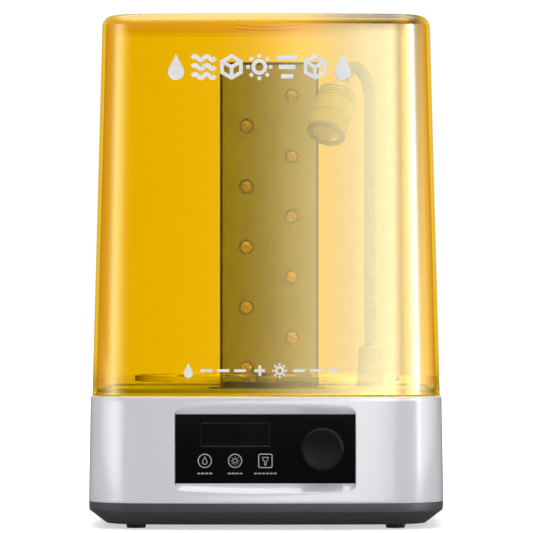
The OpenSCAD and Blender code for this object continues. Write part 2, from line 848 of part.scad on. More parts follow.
module column_channel() {
    half = column_w / 2;
    color("#26272a") difference() {
        union() {
            difference() {
                block([-half, column_front_y, column_low], [half, column_back_y, column_top]);
                block([-half + column_wall, column_front_y - through, column_low + column_wall],
                      [half - column_wall, column_back_y - column_wall, column_top - column_wall]);
            }
            for (sx = [-1, 1]) translate([sx * column_bolt_x, column_bolt_y, 0]) disc(4, column_low, 98.5);
        }
        for (sx = [-1, 1]) translate([sx * column_bolt_x, column_bolt_y, 0])
            disc(screw_bore_r, column_low - through, 97.5);
        translate([0, column_bolt_y, 0]) disc(4, column_low - through, column_low + 3);
    }
}

module column_front() {
    half = column_w / 2 - column_wall - 0.1;
    color("#6b6c6e") difference() {
        block([-half, column_front_y + 0.6, column_low + column_wall + 0.1],
              [half, column_front_y + 2.4, column_top - column_wall - 0.1]);
        for (p = led_places) rod_y(p[0], p[1], led_hole_r, column_front_y - through, column_front_y + 3);
    }
}

module led_board() {
    color("#e9e9e6") block([-28, led_board_y, 99.5], [28, led_board_y + led_board_t, 315]);
}

module led_emitters() {
    color("#e8a23c") for (p = led_places)
        block([p[0] - 2.6, led_board_y - 1.4, p[1] - 2.6], [p[0] + 2.6, led_board_y - snug, p[1] + 2.6]);
}

module led_lenses() {
    color("lightyellow", 0.5)
        for (p = led_places) translate([p[0], led_board_y - slip, p[1]]) rotate([90, 0, 0])
        difference() {
            union() {
                cylinder(r = lens_r, h = 1.8);
                intersection() {
                    at_z(1.8) sphere(r = lens_r);
                    disc(lens_r + through, 1.7, 8);
                }
            }
            block([-2.9, -2.9, -through], [2.9, 2.9, 1.6]);
        }
}

module column_heat_sink() {
    y0 = led_board_y + led_board_t + snug;
    color("lightgray") difference() {
        block([-26, y0, 104], [26, column_back_y - column_wall - 0.1, 311]);
        for (i = [-4 : 4]) block([i * 5.4 - 1, y0 + 1.8, 103], [i * 5.4 + 1, column_back_y, 312]);
    }
}

// ---------------------------------------------------------------- gooseneck lamp
socket_top = 107.3;
plug_z = socket_top + slip;
neck_foot = 119.2;
low_joint_z = 150;
mid_joint_z = 225;
bend_z = 290;
joint_cut = 3.5;                       // how far below a joint the tube stops, to leave it room to bend
ball_joint_r = neck_r + 0.4;
head_start = 10;
head_end = 44;

module at_lamp() translate([lamp_x, lamp_y, 0]) children();

// Moves to the end of the bend, with +Z pointing the way the lamp shines.
module at_head() at_lamp() at_z(bend_z) rotate([0, 0, bend_heading])
    translate([bend_r * (1 - cos(bend_angle)), 0, bend_r * sin(bend_angle)])
        rotate([0, bend_angle, 0]) children();

module lamp_socket() {
    color("#55565a") at_lamp() difference() {
        at_z(column_low) cylinder(r1 = 10.3, r2 = 8.15, h = socket_top - column_low);
        disc(3.5, 94, socket_top + through);
        disc(1.5, column_low - through, 95);
    }
}

module lamp_plug() {
    color("#3a3b3e") at_lamp() difference() {
        union() {
            disc(8.15, plug_z, neck_foot - 1);
            at_z(neck_foot - 1) cylinder(r1 = 8.15, r2 = 7.2, h = 1);
            disc(3.5 - slip, 94.2, plug_z + 0.1);
        }
        around(24, 8.35) disc(0.55, plug_z + 1.5, neck_foot + through);
    }
}

module gooseneck_lower() {
    color("#8c8c8a") at_lamp() difference() {
        disc(neck_r, neck_foot + snug, low_joint_z - joint_cut + 0.8);
        at_z(low_joint_z) sphere(r = ball_joint_r + slip);
    }
}

module gooseneck_middle() {
    color("#8c8c8a") at_lamp() difference() {
        union() {
            at_z(low_joint_z) sphere(r = ball_joint_r);
            disc(neck_r, low_joint_z, mid_joint_z - joint_cut);
        }
        at_z(mid_joint_z) sphere(r = ball_joint_r + slip);
    }
}

module gooseneck_upper() {
    color("#8c8c8a") {
        at_lamp() {
            at_z(mid_joint_z) sphere(r = ball_joint_r);
            disc(neck_r, mid_joint_z, bend_z);
            disc(neck_r + 0.3, bend_z - 1.5, bend_z + 1);
            at_z(bend_z) rotate([0, 0, bend_heading]) translate([bend_r, 0, 0]) rotate([90, 0, 0])
                rotate([0, 0, 180 - bend_angle]) rotate_extrude(angle = bend_angle)
                    translate([bend_r, 0]) circle(r = neck_r);
        }
        at_head() sphere(r = ball_joint_r);
    }
}

module ring_groove(r, depth, z, w) difference() {
    disc(r + through, z, z + w);
    disc(r - depth, z - through, z + w + through);
}

module lamp_head() {
    color("#8f8f8c") at_head() difference() {
        union() {
            disc(6, 2, head_start + 1);
            at_z(head_start) cylinder(r1 = head_r - 1, r2 = head_r, h = 1);
            disc(head_r, head_start + 1, head_end);
        }
        sphere(r = ball_joint_r + slip);
        for (i = [0 : 3]) ring_groove(head_r, 1.1, head_start + 3 + i * 2.2, 0.8);
        ring_groove(head_r, 0.5, head_start + 22, 0.6);
        disc(head_r - 1.9, head_end - 11, head_end + through);
    }
}

module lamp_bezel() {
    color("#4b4b4b") at_head() difference() {
        disc(head_r, head_end + snug, head_end + 2.5);
        disc(head_r - 3.6, head_end - through, head_end + 3);
        disc(head_r - 2.2, head_end - through, head_end + 1.7);
    }
}

module lamp_lens() {
    color("white", 0.5) at_head() disc(head_r - 2.3, head_end - 0.2, head_end + 1.6);
}

module lamp_reflector() {
    depth = 8.3;
    color("gainsboro") at_head() at_z(head_end - 0.3 - depth) difference() {
        cylinder(r1 = 4.2, r2 = head_r - 2, h = depth);
        at_z(-0.01) cylinder(r1 = 3.2, r2 = head_r - 3, h = depth + 0.02);
    }
}

module lamp_emitter() {
    z0 = head_end - 10.9;
    color("#d9803a") at_head() {
        disc(head_r - 2.1, z0, z0 + 1.6);
        disc(2.2, z0 + 1.5, z0 + 3.4);
    }
}

// ---------------------------------------------------------------- main board
plug_x = [-84, -72, -60, -46, -32];    // plugs along the board's front edge
plug_y = 19;
plug_h = 7;

module main_board() {
    color("#1d5c34") difference() {
        block([board_x0, board_y0, board_z], [board_x1, board_y1, board_z + board_t]);
        board_posts() disc(board_screw_r + 0.2, board_z - through, board_z + board_t + through);
    }
}

module board_components() {
    z = board_z + board_t + snug;
    color("#1a1a1c") {
        for (p = [[-84, 60], [-72, 60], [-84, 46]]) translate([p[0], p[1], 0]) disc(5, z, z + 13);
        block([-62, 34, z], [-50, 46, z + 1.6]);
        block([-34, 24, z], [-28, 28, z + 1.5]);
        translate([-56, 60, 0]) disc(6, z, z + 6);
    }
    color("silver") difference() {
        block([-44, 52, z], [-24, 64, z + 12]);
        for (i = [0 : 3]) block([-42 + i * 5, 51, z + 3], [-40 + i * 5, 65, z + 13]);
    }
    color("ivory") {
        for (x = plug_x) block([x - 5, 16, z], [x + 5, 22, z + plug_h]);
        block([-16, 40, z], [-6, 64, z + 9]);
    }
}

// ---------------------------------------------------------------- power socket and switch
module dc_jack() {
    inlet_depth = 9.5;
    color("#18181a") difference() {
        union() {
            rod_y(jack_x, back_pad_z, 7, back_pad_y + snug, back_pad_y + 1.5);
            rod_y(jack_x, back_pad_z, jack_body_r, back_pad_y - 14, back_pad_y + 0.1);
        }
        rod_y(jack_x, back_pad_z, 3.1, back_pad_y + 1.5 - inlet_depth, back_pad_y + 3);
    }
    color("silver") {
        rod_y(jack_x, back_pad_z, 1.05, back_pad_y + 1 - inlet_depth, back_pad_y + 0.5);
        difference() {
            rod_y(jack_x, back_pad_z, 8, back_pad_y - wall - 2.9, back_pad_y - wall - nut_gap, $fn = 6);
            rod_y(jack_x, back_pad_z, jack_body_r + snug, back_pad_y - wall - 4, back_pad_y);
        }
    }
}

rocker_tilt = 8;
rocker_y = back_pad_y - 3;
rocker_half_h = 7.2;
rocker_half_w = 4.8;

module power_switch() {
    color("#18181a") difference() {
        union() {
            block([switch_x - switch_w / 2 - 1.4, back_pad_y + snug, back_pad_z - switch_h / 2 - 1.4],
                  [switch_x + switch_w / 2 + 1.4, back_pad_y + 1.3, back_pad_z + switch_h / 2 + 1.4]);
            block([switch_x - switch_w / 2, back_pad_y - 15, back_pad_z - switch_h / 2],
                  [switch_x + switch_w / 2, back_pad_y + 0.1, back_pad_z + switch_h / 2]);
        }
        block([switch_x - rocker_half_w - 0.3, rocker_y - 4.4, back_pad_z - 8.3],
              [switch_x + rocker_half_w + 0.3, back_pad_y + 3, back_pad_z + 8.3]);
        rocker_axle(1.05, rocker_half_w + 1.2);
    }
    color("silver") for (dz = [-6, 6])
        block([switch_x - 2.4, back_pad_y - 21, back_pad_z + dz - 0.4],
              [switch_x + 2.4, back_pad_y - 14.5, back_pad_z + dz + 0.4]);
}

module rocker_axle(r, half)
    translate([switch_x - half, rocker_y, back_pad_z]) rotate([0, 90, 0]) cylinder(r = r, h = 2 * half);

// Drawn switched off, with its lower end standing out.
module switch_rocker() {
    color("#222224") {
        translate([switch_x, rocker_y, back_pad_z]) rotate([rocker_tilt, 0, 0])
            rotate([90, 0, 90]) at_z(-rocker_half_w) linear_extrude(height = 2 * rocker_half_w)
                polygon([[-3, -3], [2.2, -rocker_half_h], [5, -rocker_half_h], [4, 0],
                         [5, rocker_half_h], [2.2, rocker_half_h], [-3, 3]]);
        rocker_axle(1, rocker_half_w + 1);
    }
}

// ---------------------------------------------------------------- wiring
module wiring() {
    top = board_z + board_t + plug_h + 1.5;
    color("#b3202a") cable([[jack_x, back_pad_y - 15.5, back_pad_z], [jack_x, 86, back_pad_z], [20, 80, 40],
                            [-11, 52, 30], [-11, 52, 24.5]], 1.1);
    color("#202020") cable([[switch_x, back_pad_y - 22.3, back_pad_z - 6], [switch_x, 78, 34], [0, 68, 30],
                            [-11, 60, 28], [-11, 60, 24.5]], 1.1);
    color("#b3202a") cable([[6, table_y, bracket_z - motor_h - 1.3], [6, table_y, 28], [-32, 4, 26],
                            [plug_x[4], plug_y, 25], [plug_x[4], plug_y, top]], 1);
    color("#d8d8d8") cable([[7, control_board_y + 10.7, panel_mid_z - 9.5], [7, -80, 34], [-46, -30, 26],
                            [plug_x[3], plug_y, 27], [plug_x[3], plug_y, top]], 1.1);
    color("#d8d8d8") cable([[0, column_bolt_y, 94.5], [0, column_bolt_y, 70], [-40, 84, 50], [-60, 40, 34],
                            [plug_x[2], plug_y, 28], [plug_x[2], plug_y, top]], 1.3);
    color("#202020") cable([[lamp_x, lamp_y, 90.5], [lamp_x, lamp_y, 74], [10, 76, 56], [-72, 34, 38],
                            [plug_x[1], plug_y, 28], [plug_x[1], plug_y, top]], 1.1);
    color("#d8d8d8") cable([[magnet_x, magnet_y - 8, deck_z - wall - 9], [magnet_x, 90, 60], [-86, 40, 38],
                            [plug_x[0], plug_y, 28], [plug_x[0], plug_y, top]], 0.9);
}

// ---------------------------------------------------------------- fasteners
module case_screws() {
    color("silver") {
        in_corners(post_x, post_y) at_z(foot_h + screw_head_h + 0.6)
            screw(screw_r, screw_head_r, screw_head_h, post_foot_z + 14 - foot_h - screw_head_h);
        in_corners(deck_tab_x, deck_tab_y) at_z(tab_z - snug)
            screw(screw_r, screw_head_r, screw_head_h, 5.2);
        for (sx = [-1, 1]) translate([sx * column_bolt_x, column_bolt_y, deck_z - wall - snug])
            screw(screw_r, screw_head_r, screw_head_h, 8.5);
    }
}

module machine_screws() {
    color("silver") about_table() {
        in_corners(bracket_x, bracket_y)
            at_z(bracket_z - snug) screw(screw_r, screw_head_r, screw_head_h, 11);
        around(2, 12.5) at_z(bracket_z + bracket_t + snug) mirror([0, 0, 1])
            screw(screw_r, screw_head_r - 0.2, 1.6, 5.5);
    }
}

module board_screws() {
    color("silver") {
        for (sx = [-1, 1], sz = [-1, 1])
            translate([sx * control_post_x, control_board_y + control_board_t + snug,
                       panel_mid_z + sz * control_post_z])
                rotate([90, 0, 0]) screw(board_screw_r, board_screw_head_r, board_screw_head_h, 6.5);
        board_posts() at_z(board_z + board_t + snug) mirror([0, 0, 1])
            screw(board_screw_r, board_screw_head_r, board_screw_head_h, 7.5);
    }
}

// ---------------------------------------------------------------- output
module centred() translate([0, origin_shift, 0]) children();

centred() cover();
centred() cover_magnet();
centred() casing();
centred() bottom_tray();
centred() feet();
centred() deck_plate();
centred() cover_sensor();
centred() front_panel();
centred() display_window();
centred() display_module();
centred() display_segments();
centred() icon_light_guides();
centred() control_board();
centred() encoder_body();
centred() encoder_plunger();
centred() encoder_shaft();
centred() knob();
centred() motor_can();
centred() motor_shaft();
centred() motor_bracket();
centred() magnet_rotor();
centred() rotor_magnets();
centred() drive_base();
centred() centre_pin();
centred() magnet_carrier();
centred() carrier_magnets();
centred() planet_plate();
centred() planet_gear(0);  // planet_gear_1
centred() planet_gear(1);  // planet_gear_2
centred() planet_gear(2);  // planet_gear_3
centred() turntable_hub();
centred() turntable_disc();
centred() hub_cap();
centred() bearing_outer_race();
centred() bearing_inner_race();
centred() column_channel();
centred() column_front();
centred() led_board();
centred() led_emitters();
centred() led_lenses();
centred() column_heat_sink();
centred() lamp_socket();
centred() lamp_plug();
centred() gooseneck_lower();
centred() gooseneck_middle();
centred() gooseneck_upper();
centred() lamp_head();
centred() lamp_bezel();
centred() lamp_reflector();
centred() lamp_lens();
centred() lamp_emitter();
centred() main_board();
centred() board_components();
centred() dc_jack();
centred() power_switch();
centred() switch_rocker();
centred() wiring();
centred() case_screws();
centred() machine_screws();
centred() board_screws();
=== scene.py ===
"""Looks for the wash and cure station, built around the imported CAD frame. Metres, Z up, front towards -Y."""
import json
import math

import bmesh
import bpy
import numpy as np
from mathutils import Matrix, Vector


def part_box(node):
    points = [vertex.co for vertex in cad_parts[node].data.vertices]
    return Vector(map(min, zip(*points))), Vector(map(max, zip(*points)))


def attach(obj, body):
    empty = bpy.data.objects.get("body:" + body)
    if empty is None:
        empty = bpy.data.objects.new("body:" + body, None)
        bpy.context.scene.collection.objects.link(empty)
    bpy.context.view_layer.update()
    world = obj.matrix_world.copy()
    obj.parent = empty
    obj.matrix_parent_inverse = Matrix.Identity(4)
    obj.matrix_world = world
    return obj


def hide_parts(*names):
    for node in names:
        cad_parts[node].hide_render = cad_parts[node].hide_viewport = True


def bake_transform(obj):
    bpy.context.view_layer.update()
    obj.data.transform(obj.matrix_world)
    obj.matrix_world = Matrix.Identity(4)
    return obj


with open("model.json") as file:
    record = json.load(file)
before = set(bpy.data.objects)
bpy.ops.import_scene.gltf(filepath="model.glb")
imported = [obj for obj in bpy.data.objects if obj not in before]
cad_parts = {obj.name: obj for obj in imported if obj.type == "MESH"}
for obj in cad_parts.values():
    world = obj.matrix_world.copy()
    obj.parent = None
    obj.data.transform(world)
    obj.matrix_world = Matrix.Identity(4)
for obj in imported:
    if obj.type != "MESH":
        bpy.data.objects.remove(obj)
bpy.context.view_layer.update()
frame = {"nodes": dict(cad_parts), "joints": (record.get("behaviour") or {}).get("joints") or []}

MM = 0.001
JOINTS = {joint["name"]: joint for joint in frame["joints"]}
NODES = frame["nodes"]


def joint_at(name):
    return Vector(JOINTS[name]["pos_m"])


def middle(node):
    low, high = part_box(node)
    return (low + high) / 2


# ---------------------------------------------------------------- sizes
CASE_LOW, CASE_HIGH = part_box("casing")
HALF_W = (CASE_HIGH.x - CASE_LOW.x) / 2
HALF_D = (CASE_HIGH.y - CASE_LOW.y) / 2
MID_Y = (CASE_HIGH.y + CASE_LOW.y) / 2
CORNER_R = 38 * MM
FRONT_ARC_R = 840 * MM
SIDE_ARC_R = 1500 * MM
SEAM_Z = CASE_LOW.z
LEDGE_Z = 87.5 * MM
LIP_Z = 90 * MM
DECK_Z = 91 * MM
RIM_Z = 92.6 * MM
WALL = 2.5 * MM
CASE_DRAFT = 1.2 * MM
LEDGE_INSET = 8 * MM
LIP_INSET = 5.4 * MM
COVER_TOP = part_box("cover")[1].z
COVER_FOOT = LEDGE_Z + 0.05 * MM
COVER_INSET = 2.35 * MM
COVER_SLOPE = math.tan(math.radians(1.53))
COVER_EDGE_R = 7 * MM
TABLE_AXIS = joint_at("turntable_spin")
FRONT_STEPS, SIDE_STEPS, CORNER_STEPS = 24, 8, 16


# ---------------------------------------------------------------- rounded outline
def unit(angle):
    return np.array([math.cos(angle), math.sin(angle)])


def corner_centre():
    """The centre of the corner arc that touches both long arcs."""
    x, y = HALF_W - CORNER_R, HALF_D - CORNER_R
    for _ in range(12):
        x, y = (HALF_W - SIDE_ARC_R + math.sqrt((SIDE_ARC_R - CORNER_R) ** 2 - y * y),
                HALF_D - FRONT_ARC_R + math.sqrt((FRONT_ARC_R - CORNER_R) ** 2 - x * x))
    return np.array([x, y])


CORNER = corner_centre()
SIDE_LEAN = math.asin(CORNER[1] / (SIDE_ARC_R - CORNER_R))
FRONT_LEAN = math.asin(CORNER[0] / (FRONT_ARC_R - CORNER_R))
FRONT_END = FRONT_ARC_R * math.sin(FRONT_LEAN)


def stations(front_x=None, back_x=None):
    """Points on the base's widest line and their outward normals, anticlockwise from the front's left end."""
    spread = np.linspace(-FRONT_END, FRONT_END, FRONT_STEPS + 1)
    front_x = spread if front_x is None else front_x
    back_x = spread if back_x is None else back_x
    arcs = []

    def arc(centre, radius, angles):
        arcs.extend((np.array(centre) + radius * unit(a), unit(a)) for a in angles)

    def corner(centre, start, end):
        arc(centre, CORNER_R, np.linspace(start, end, CORNER_STEPS + 1)[1:-1])

    quarter = math.pi / 2
    x, y = CORNER
    front_angles = [math.asin(v / FRONT_ARC_R) for v in front_x]
    back_angles = [math.asin(v / FRONT_ARC_R) for v in back_x]
    side_angles = np.linspace(-SIDE_LEAN, SIDE_LEAN, SIDE_STEPS + 1)
    arc((0, FRONT_ARC_R - HALF_D), FRONT_ARC_R, [a - quarter for a in front_angles])
    corner((x, -y), FRONT_LEAN - quarter, -SIDE_LEAN)
    arc((HALF_W - SIDE_ARC_R, 0), SIDE_ARC_R, side_angles)
    corner((x, y), SIDE_LEAN, quarter - FRONT_LEAN)
    arc((0, HALF_D - FRONT_ARC_R), FRONT_ARC_R, [quarter - a for a in reversed(back_angles)])
    corner((-x, y), quarter + FRONT_LEAN, 2 * quarter - SIDE_LEAN)
    arc((SIDE_ARC_R - HALF_W, 0), SIDE_ARC_R, side_angles + 2 * quarter)
    corner((-x, -y), 2 * quarter + SIDE_LEAN, 3 * quarter - FRONT_LEAN)
    points = np.array([p for p, _ in arcs]) + np.array([0, MID_Y])
    normals = np.array([n for _, n in arcs])
    return points, normals


def ring(track, inset, z):
    """One ring of points at height z, moved inwards by inset."""
    points, normals = track
    flat = points - inset * normals
    return np.column_stack([flat, np.full(len(flat), z)])


def circle_ring(track, centre, radius, z):
    """A circle with one point for each station, at that station's bearing from the centre."""
    points, _ = track
    bearing = np.arctan2(points[:, 1] - MID_Y, points[:, 0])
    return upright_ring(centre.x, centre.y, radius, bearing, z)


# ---------------------------------------------------------------- mesh helpers
def new_object(name, mesh):
    piece = bpy.data.objects.new(name, mesh)
    bpy.context.scene.collection.objects.link(piece)
    return piece


def soften(piece, angle=35):
    """Smooth shading, with edges sharper than angle kept crisp."""
    piece.data.shade_smooth()
    piece.data.set_sharp_from_angle(angle=math.radians(angle))


def mesh_piece(name, points, faces, angle=35):
    mesh = bpy.data.meshes.new(name)
    mesh.from_pydata([tuple(p) for p in points], [], faces)
    mesh.validate()
    bm = bmesh.new()
    bm.from_mesh(mesh)
    bmesh.ops.recalc_face_normals(bm, faces=bm.faces)
    bm.to_mesh(mesh)
    bm.free()
    piece = new_object(name, mesh)
    soften(piece, angle)
    return piece


def stitched(name, rings, closed, hubs, angle):
    """Quads through rings of equal length. closed joins the last ring to the first. hubs are the middles of
    the fans that close the two ends, or None where an end stays open."""
    n = len(rings[0])
    faces = []
    for i in range(len(rings) if closed else len(rings) - 1):
        a, b = i * n, ((i + 1) % len(rings)) * n
        faces += [(a + k, a + (k + 1) % n, b + (k + 1) % n, b + k) for k in range(n)]
    points = np.vstack(rings)
    for first, hub in ((0, hubs[0]), ((len(rings) - 1) * n, hubs[1])):
        if hub is not None:
            faces += [(first + k, first + (k + 1) % n, len(points)) for k in range(n)]
            points = np.vstack([points, hub])
    return mesh_piece(name, points, faces, angle)


def skin(name, rings, closed=False, angle=35):
    """A surface through rings. Unless it is closed on itself, both its ends are capped."""
    hubs = (None, None) if closed else (rings[0].mean(axis=0), rings[-1].mean(axis=0))
    return stitched(name, rings, closed, hubs, angle)


def upright_ring(x, y, radius, turn, z):
    """Points round a vertical axis at the angles in turn. radius is one number, or one for each angle."""
    return np.column_stack([x + radius * np.cos(turn), y + radius * np.sin(turn), np.full(len(turn), z)])


def lathe(name, profile, segments=96, angle=35):
    """A solid of revolution about Z from (radius, height) pairs. A radius of zero closes an end. Without one,
    the profile is joined up into a tube."""
    turn = np.arange(segments) * 2 * math.pi / segments
    hubs = [[0, 0, z] if r == 0 else None for r, z in (profile[0], profile[-1])]
    rings = [upright_ring(0, 0, r, turn, z) for r, z in profile if r]
    return stitched(name, rings, hubs == [None, None], hubs, angle)


def arc_points(x, z, radius, start=0, end=360, steps=40):
    """Points round an arc, angles in degrees, without the repeated last one when it is a full circle."""
    last = steps if end - start < 360 else steps - 1
    angles = [math.radians(start + (end - start) * i / steps) for i in range(last + 1)]
    return [(x + radius * math.cos(a), z + radius * math.sin(a)) for a in angles]


def place(piece, matrix):
    """Moves the piece's own vertices, so that the object stays at the origin."""
    piece.data.transform(matrix)
    return piece


def joined(name, pieces):
    """One object from several, with their meshes joined."""
    bm = bmesh.new()
    for piece in pieces:
        bm.from_mesh(piece.data)
        bpy.data.objects.remove(piece)
    mesh = bpy.data.meshes.new(name)
    bm.to_mesh(mesh)
    bm.free()
    return new_object(name, mesh)


def cut(piece, cutter):
    """Takes the cutter's volume out of the piece, and applies it."""
    modifier = piece.modifiers.new("cut", "BOOLEAN")
    modifier.operation = "DIFFERENCE"
    modifier.solver = "EXACT"
    modifier.object = cutter
    depsgraph = bpy.context.evaluated_depsgraph_get()
    mesh = bpy.data.meshes.new_from_object(piece.evaluated_get(depsgraph))
    piece.modifiers.clear()
    piece.data = mesh
    bpy.data.objects.remove(cutter)


def box_mesh(name, low, high):
    corners = [(x, y, z) for x in (low[0], high[0]) for y in (low[1], high[1]) for z in (low[2], high[2])]
    faces = [(0, 1, 3, 2), (4, 6, 7, 5), (0, 4, 5, 1), (2, 3, 7, 6), (0, 2, 6, 4), (1, 5, 7, 3)]
    return mesh_piece(name, corners, faces)


def along_y():
    """Turns a lathe's Z axis to point at the front."""
    return Matrix.Rotation(math.radians(90), 4, "X")


def dress(piece, look):
    piece.data.materials.clear()
    piece.data.materials.append(MATERIALS[look])


def finish_piece(piece, body, look, slot, *nodes):
    """Gives a new piece its material and its body, and hides the CAD nodes that it stands for. slot is not
    used.
    """
    dress(piece, look)
    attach(piece, body)
    if nodes:
        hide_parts(*nodes)
    return piece


# ---------------------------------------------------------------- materials
class Nodes:
    """A node tree, with short calls to add nodes."""

    def __init__(self, tree):
        self.tree = tree
        tree.nodes.clear()

    def plug(self, node, key, value):
        """Links a socket to one of the node's inputs, or sets that input to a value."""
        if isinstance(value, bpy.types.NodeSocket):
            self.tree.links.new(value, node.inputs[key])
        else:
            node.inputs[key].default_value = value

    def add(self, kind, inputs=None, **settings):
        node = self.tree.nodes.new("ShaderNode" + kind)
        for key, value in settings.items():
            setattr(node, key, value)
        for key, value in (inputs or {}).items():
            self.plug(node, key, value)
        return node

    def math(self, operation, a, b=0.0, c=0.0, clamp=False):
        return self.add("Math", {0: a, 1: b, 2: c}, operation=operation, use_clamp=clamp).outputs[0]

    def fade(self, value, start, end):
        """0 up to start, 1 from end on, and straight in between."""
        return self.add("MapRange", {"Value": value, "From Min": start, "From Max": end}).outputs[0]

    def mix(self, factor, a, b):
        return self.add("Mix", {0: factor, 6: a, 7: b}, data_type="RGBA").outputs[2]

    def mix_shader(self, factor, a, b):
        return self.add("MixShader", {0: factor, 1: a, 2: b}).outputs[0]

    def background(self, color, strength):
        return self.add("Background", {"Color": color, "Strength": strength}).outputs[0]

    def curve(self, value, stops, peak):
        """A smooth curve through (position, level) pairs: positions from 0 to 1, levels as shares of peak."""
        node = self.add("ValToRGB")
        node.color_ramp.interpolation = "CARDINAL"
        elements = node.color_ramp.elements
        while len(elements) < len(stops):
            elements.new(0.5)
        for element, (position, level) in zip(elements, stops):
            element.position = position
            element.color = (*[level / peak] * 3, 1)
        self.plug(node, 0, value)
        return node.outputs[0]


class Shader(Nodes):
    """A material's node tree."""

    def __init__(self, name):
        self.material = bpy.data.materials.new(name)
        self.material.use_nodes = True
        super().__init__(self.material.node_tree)

    def noise(self, scale, detail=2.0, stretch=(1, 1, 1)):
        where = self.add("TexCoord").outputs["Object"]
        placed = self.add("Mapping", {"Vector": where, "Scale": stretch}).outputs["Vector"]
        return self.add("TexNoise", {"Vector": placed, "Scale": scale, "Detail": detail}).outputs["Fac"]

    def bump(self, height, distance, strength=1.0):
        settings = {"Height": height, "Distance": distance, "Strength": strength}
        return self.add("Bump", settings).outputs["Normal"]

    def surface(self, socket):
        self.add("OutputMaterial", {"Surface": socket})
        return self.material


def shade(color, factor):
    return (*[min(1.0, c * factor) for c in color[:3]], 1.0)


def moulded(name, color, rough, grain=1400, depth=0.02, mottle=0.05, coat=0.0, coat_rough=0.04,
            specular=0.5):
    """Injection-moulded plastic: fine grain depth mm deep, slow changes of tone and uneven gloss."""
    s = Shader(name)
    tone = s.mix(s.noise(35, 3.0), shade(color, 1 - mottle), shade(color, 1 + mottle))
    gloss = s.math("MULTIPLY_ADD", s.noise(60, 4.0), rough * 0.35, rough * 0.82)
    principled = s.add("BsdfPrincipled", {
        "Base Color": tone, "Roughness": gloss, "Coat Weight": coat, "Coat Roughness": coat_rough,
        "Specular IOR Level": specular, "Normal": s.bump(s.noise(grain, 2.0), depth * MM)})
    return s.surface(principled.outputs[0])


def metal(name, color, rough, stretch=(1, 1, 1), grain=900, depth=0.01):
    """Metal with a fine directional grain and uneven gloss."""
    s = Shader(name)
    lines = s.noise(grain, 3.0, stretch)
    tone = s.mix(lines, shade(color, 0.9), shade(color, 1.08))
    gloss = s.math("MULTIPLY_ADD", s.noise(grain / 3, 2.0, stretch), rough * 0.6, rough * 0.7)
    principled = s.add("BsdfPrincipled", {
        "Base Color": tone, "Metallic": 1.0, "Roughness": gloss, "Normal": s.bump(lines, depth * MM)})
    return s.surface(principled.outputs[0])


def powder_coat(name, color, rough):
    """Powder-coated sheet: a dense orange-peel texture."""
    s = Shader(name)
    tone = s.mix(s.noise(80, 3.0), shade(color, 0.93), shade(color, 1.07))
    principled = s.add("BsdfPrincipled", {
        "Base Color": tone, "Roughness": rough, "Normal": s.bump(s.noise(1800, 2.0), 0.03 * MM, 0.6)})
    return s.surface(principled.outputs[0])


def clear_plastic(name, tint, edge_tint, rough=0.03, haze=0.0, ior=1.49, edge_power=3.0, fill_tint=None,
                  grazing_mirror=1.0, mirrors=0):
    """Thin clear or tinted plastic: light goes straight through, edges look deeper, and the surface mirrors.
    fill_tint is the weaker tint given to light on its way in. With mirrors set, only that many of the
    surfaces that lie one behind the other mirror anything."""
    s = Shader(name)
    facing = s.add("LayerWeight", {"Blend": 0.5}).outputs["Facing"]
    deep = s.math("POWER", facing, edge_power)
    color = s.mix(deep, (*tint, 1.0), (*edge_tint, 1.0))
    if fill_tint:
        rays = s.add("LightPath").outputs
        watched = s.math("ADD", rays["Is Camera Ray"], rays["Is Glossy Ray"], clamp=True)
        color = s.mix(watched, (*fill_tint, 1.0), color)
    through = s.add("BsdfTransparent", {"Color": color}).outputs[0]
    body = s.add("BsdfDiffuse", {"Color": (*tint, 1.0)}).outputs[0]
    inner = s.mix_shader(haze, through, body)
    ripple = s.bump(s.noise(14, 1.0), 0.05 * MM, 0.25)
    straight_on = ((ior - 1) / (ior + 1)) ** 2
    grazing = s.math("POWER", facing, 5.0)
    fresnel = s.math("MULTIPLY_ADD", grazing, (1 - straight_on) * grazing_mirror, straight_on)
    if mirrors:
        depth = s.add("LightPath").outputs["Transparent Depth"]
        fresnel = s.math("MULTIPLY", fresnel, s.math("LESS_THAN", depth, mirrors - 0.5))
    gloss = s.math("MULTIPLY_ADD", s.noise(30, 3.0), rough * 0.5, rough * 0.75)
    mirror = s.add("BsdfGlossy", {"Roughness": gloss, "Normal": ripple, "Color": (1, 1, 1, 1)}).outputs[0]
    return s.surface(s.mix_shader(fresnel, inner, mirror))


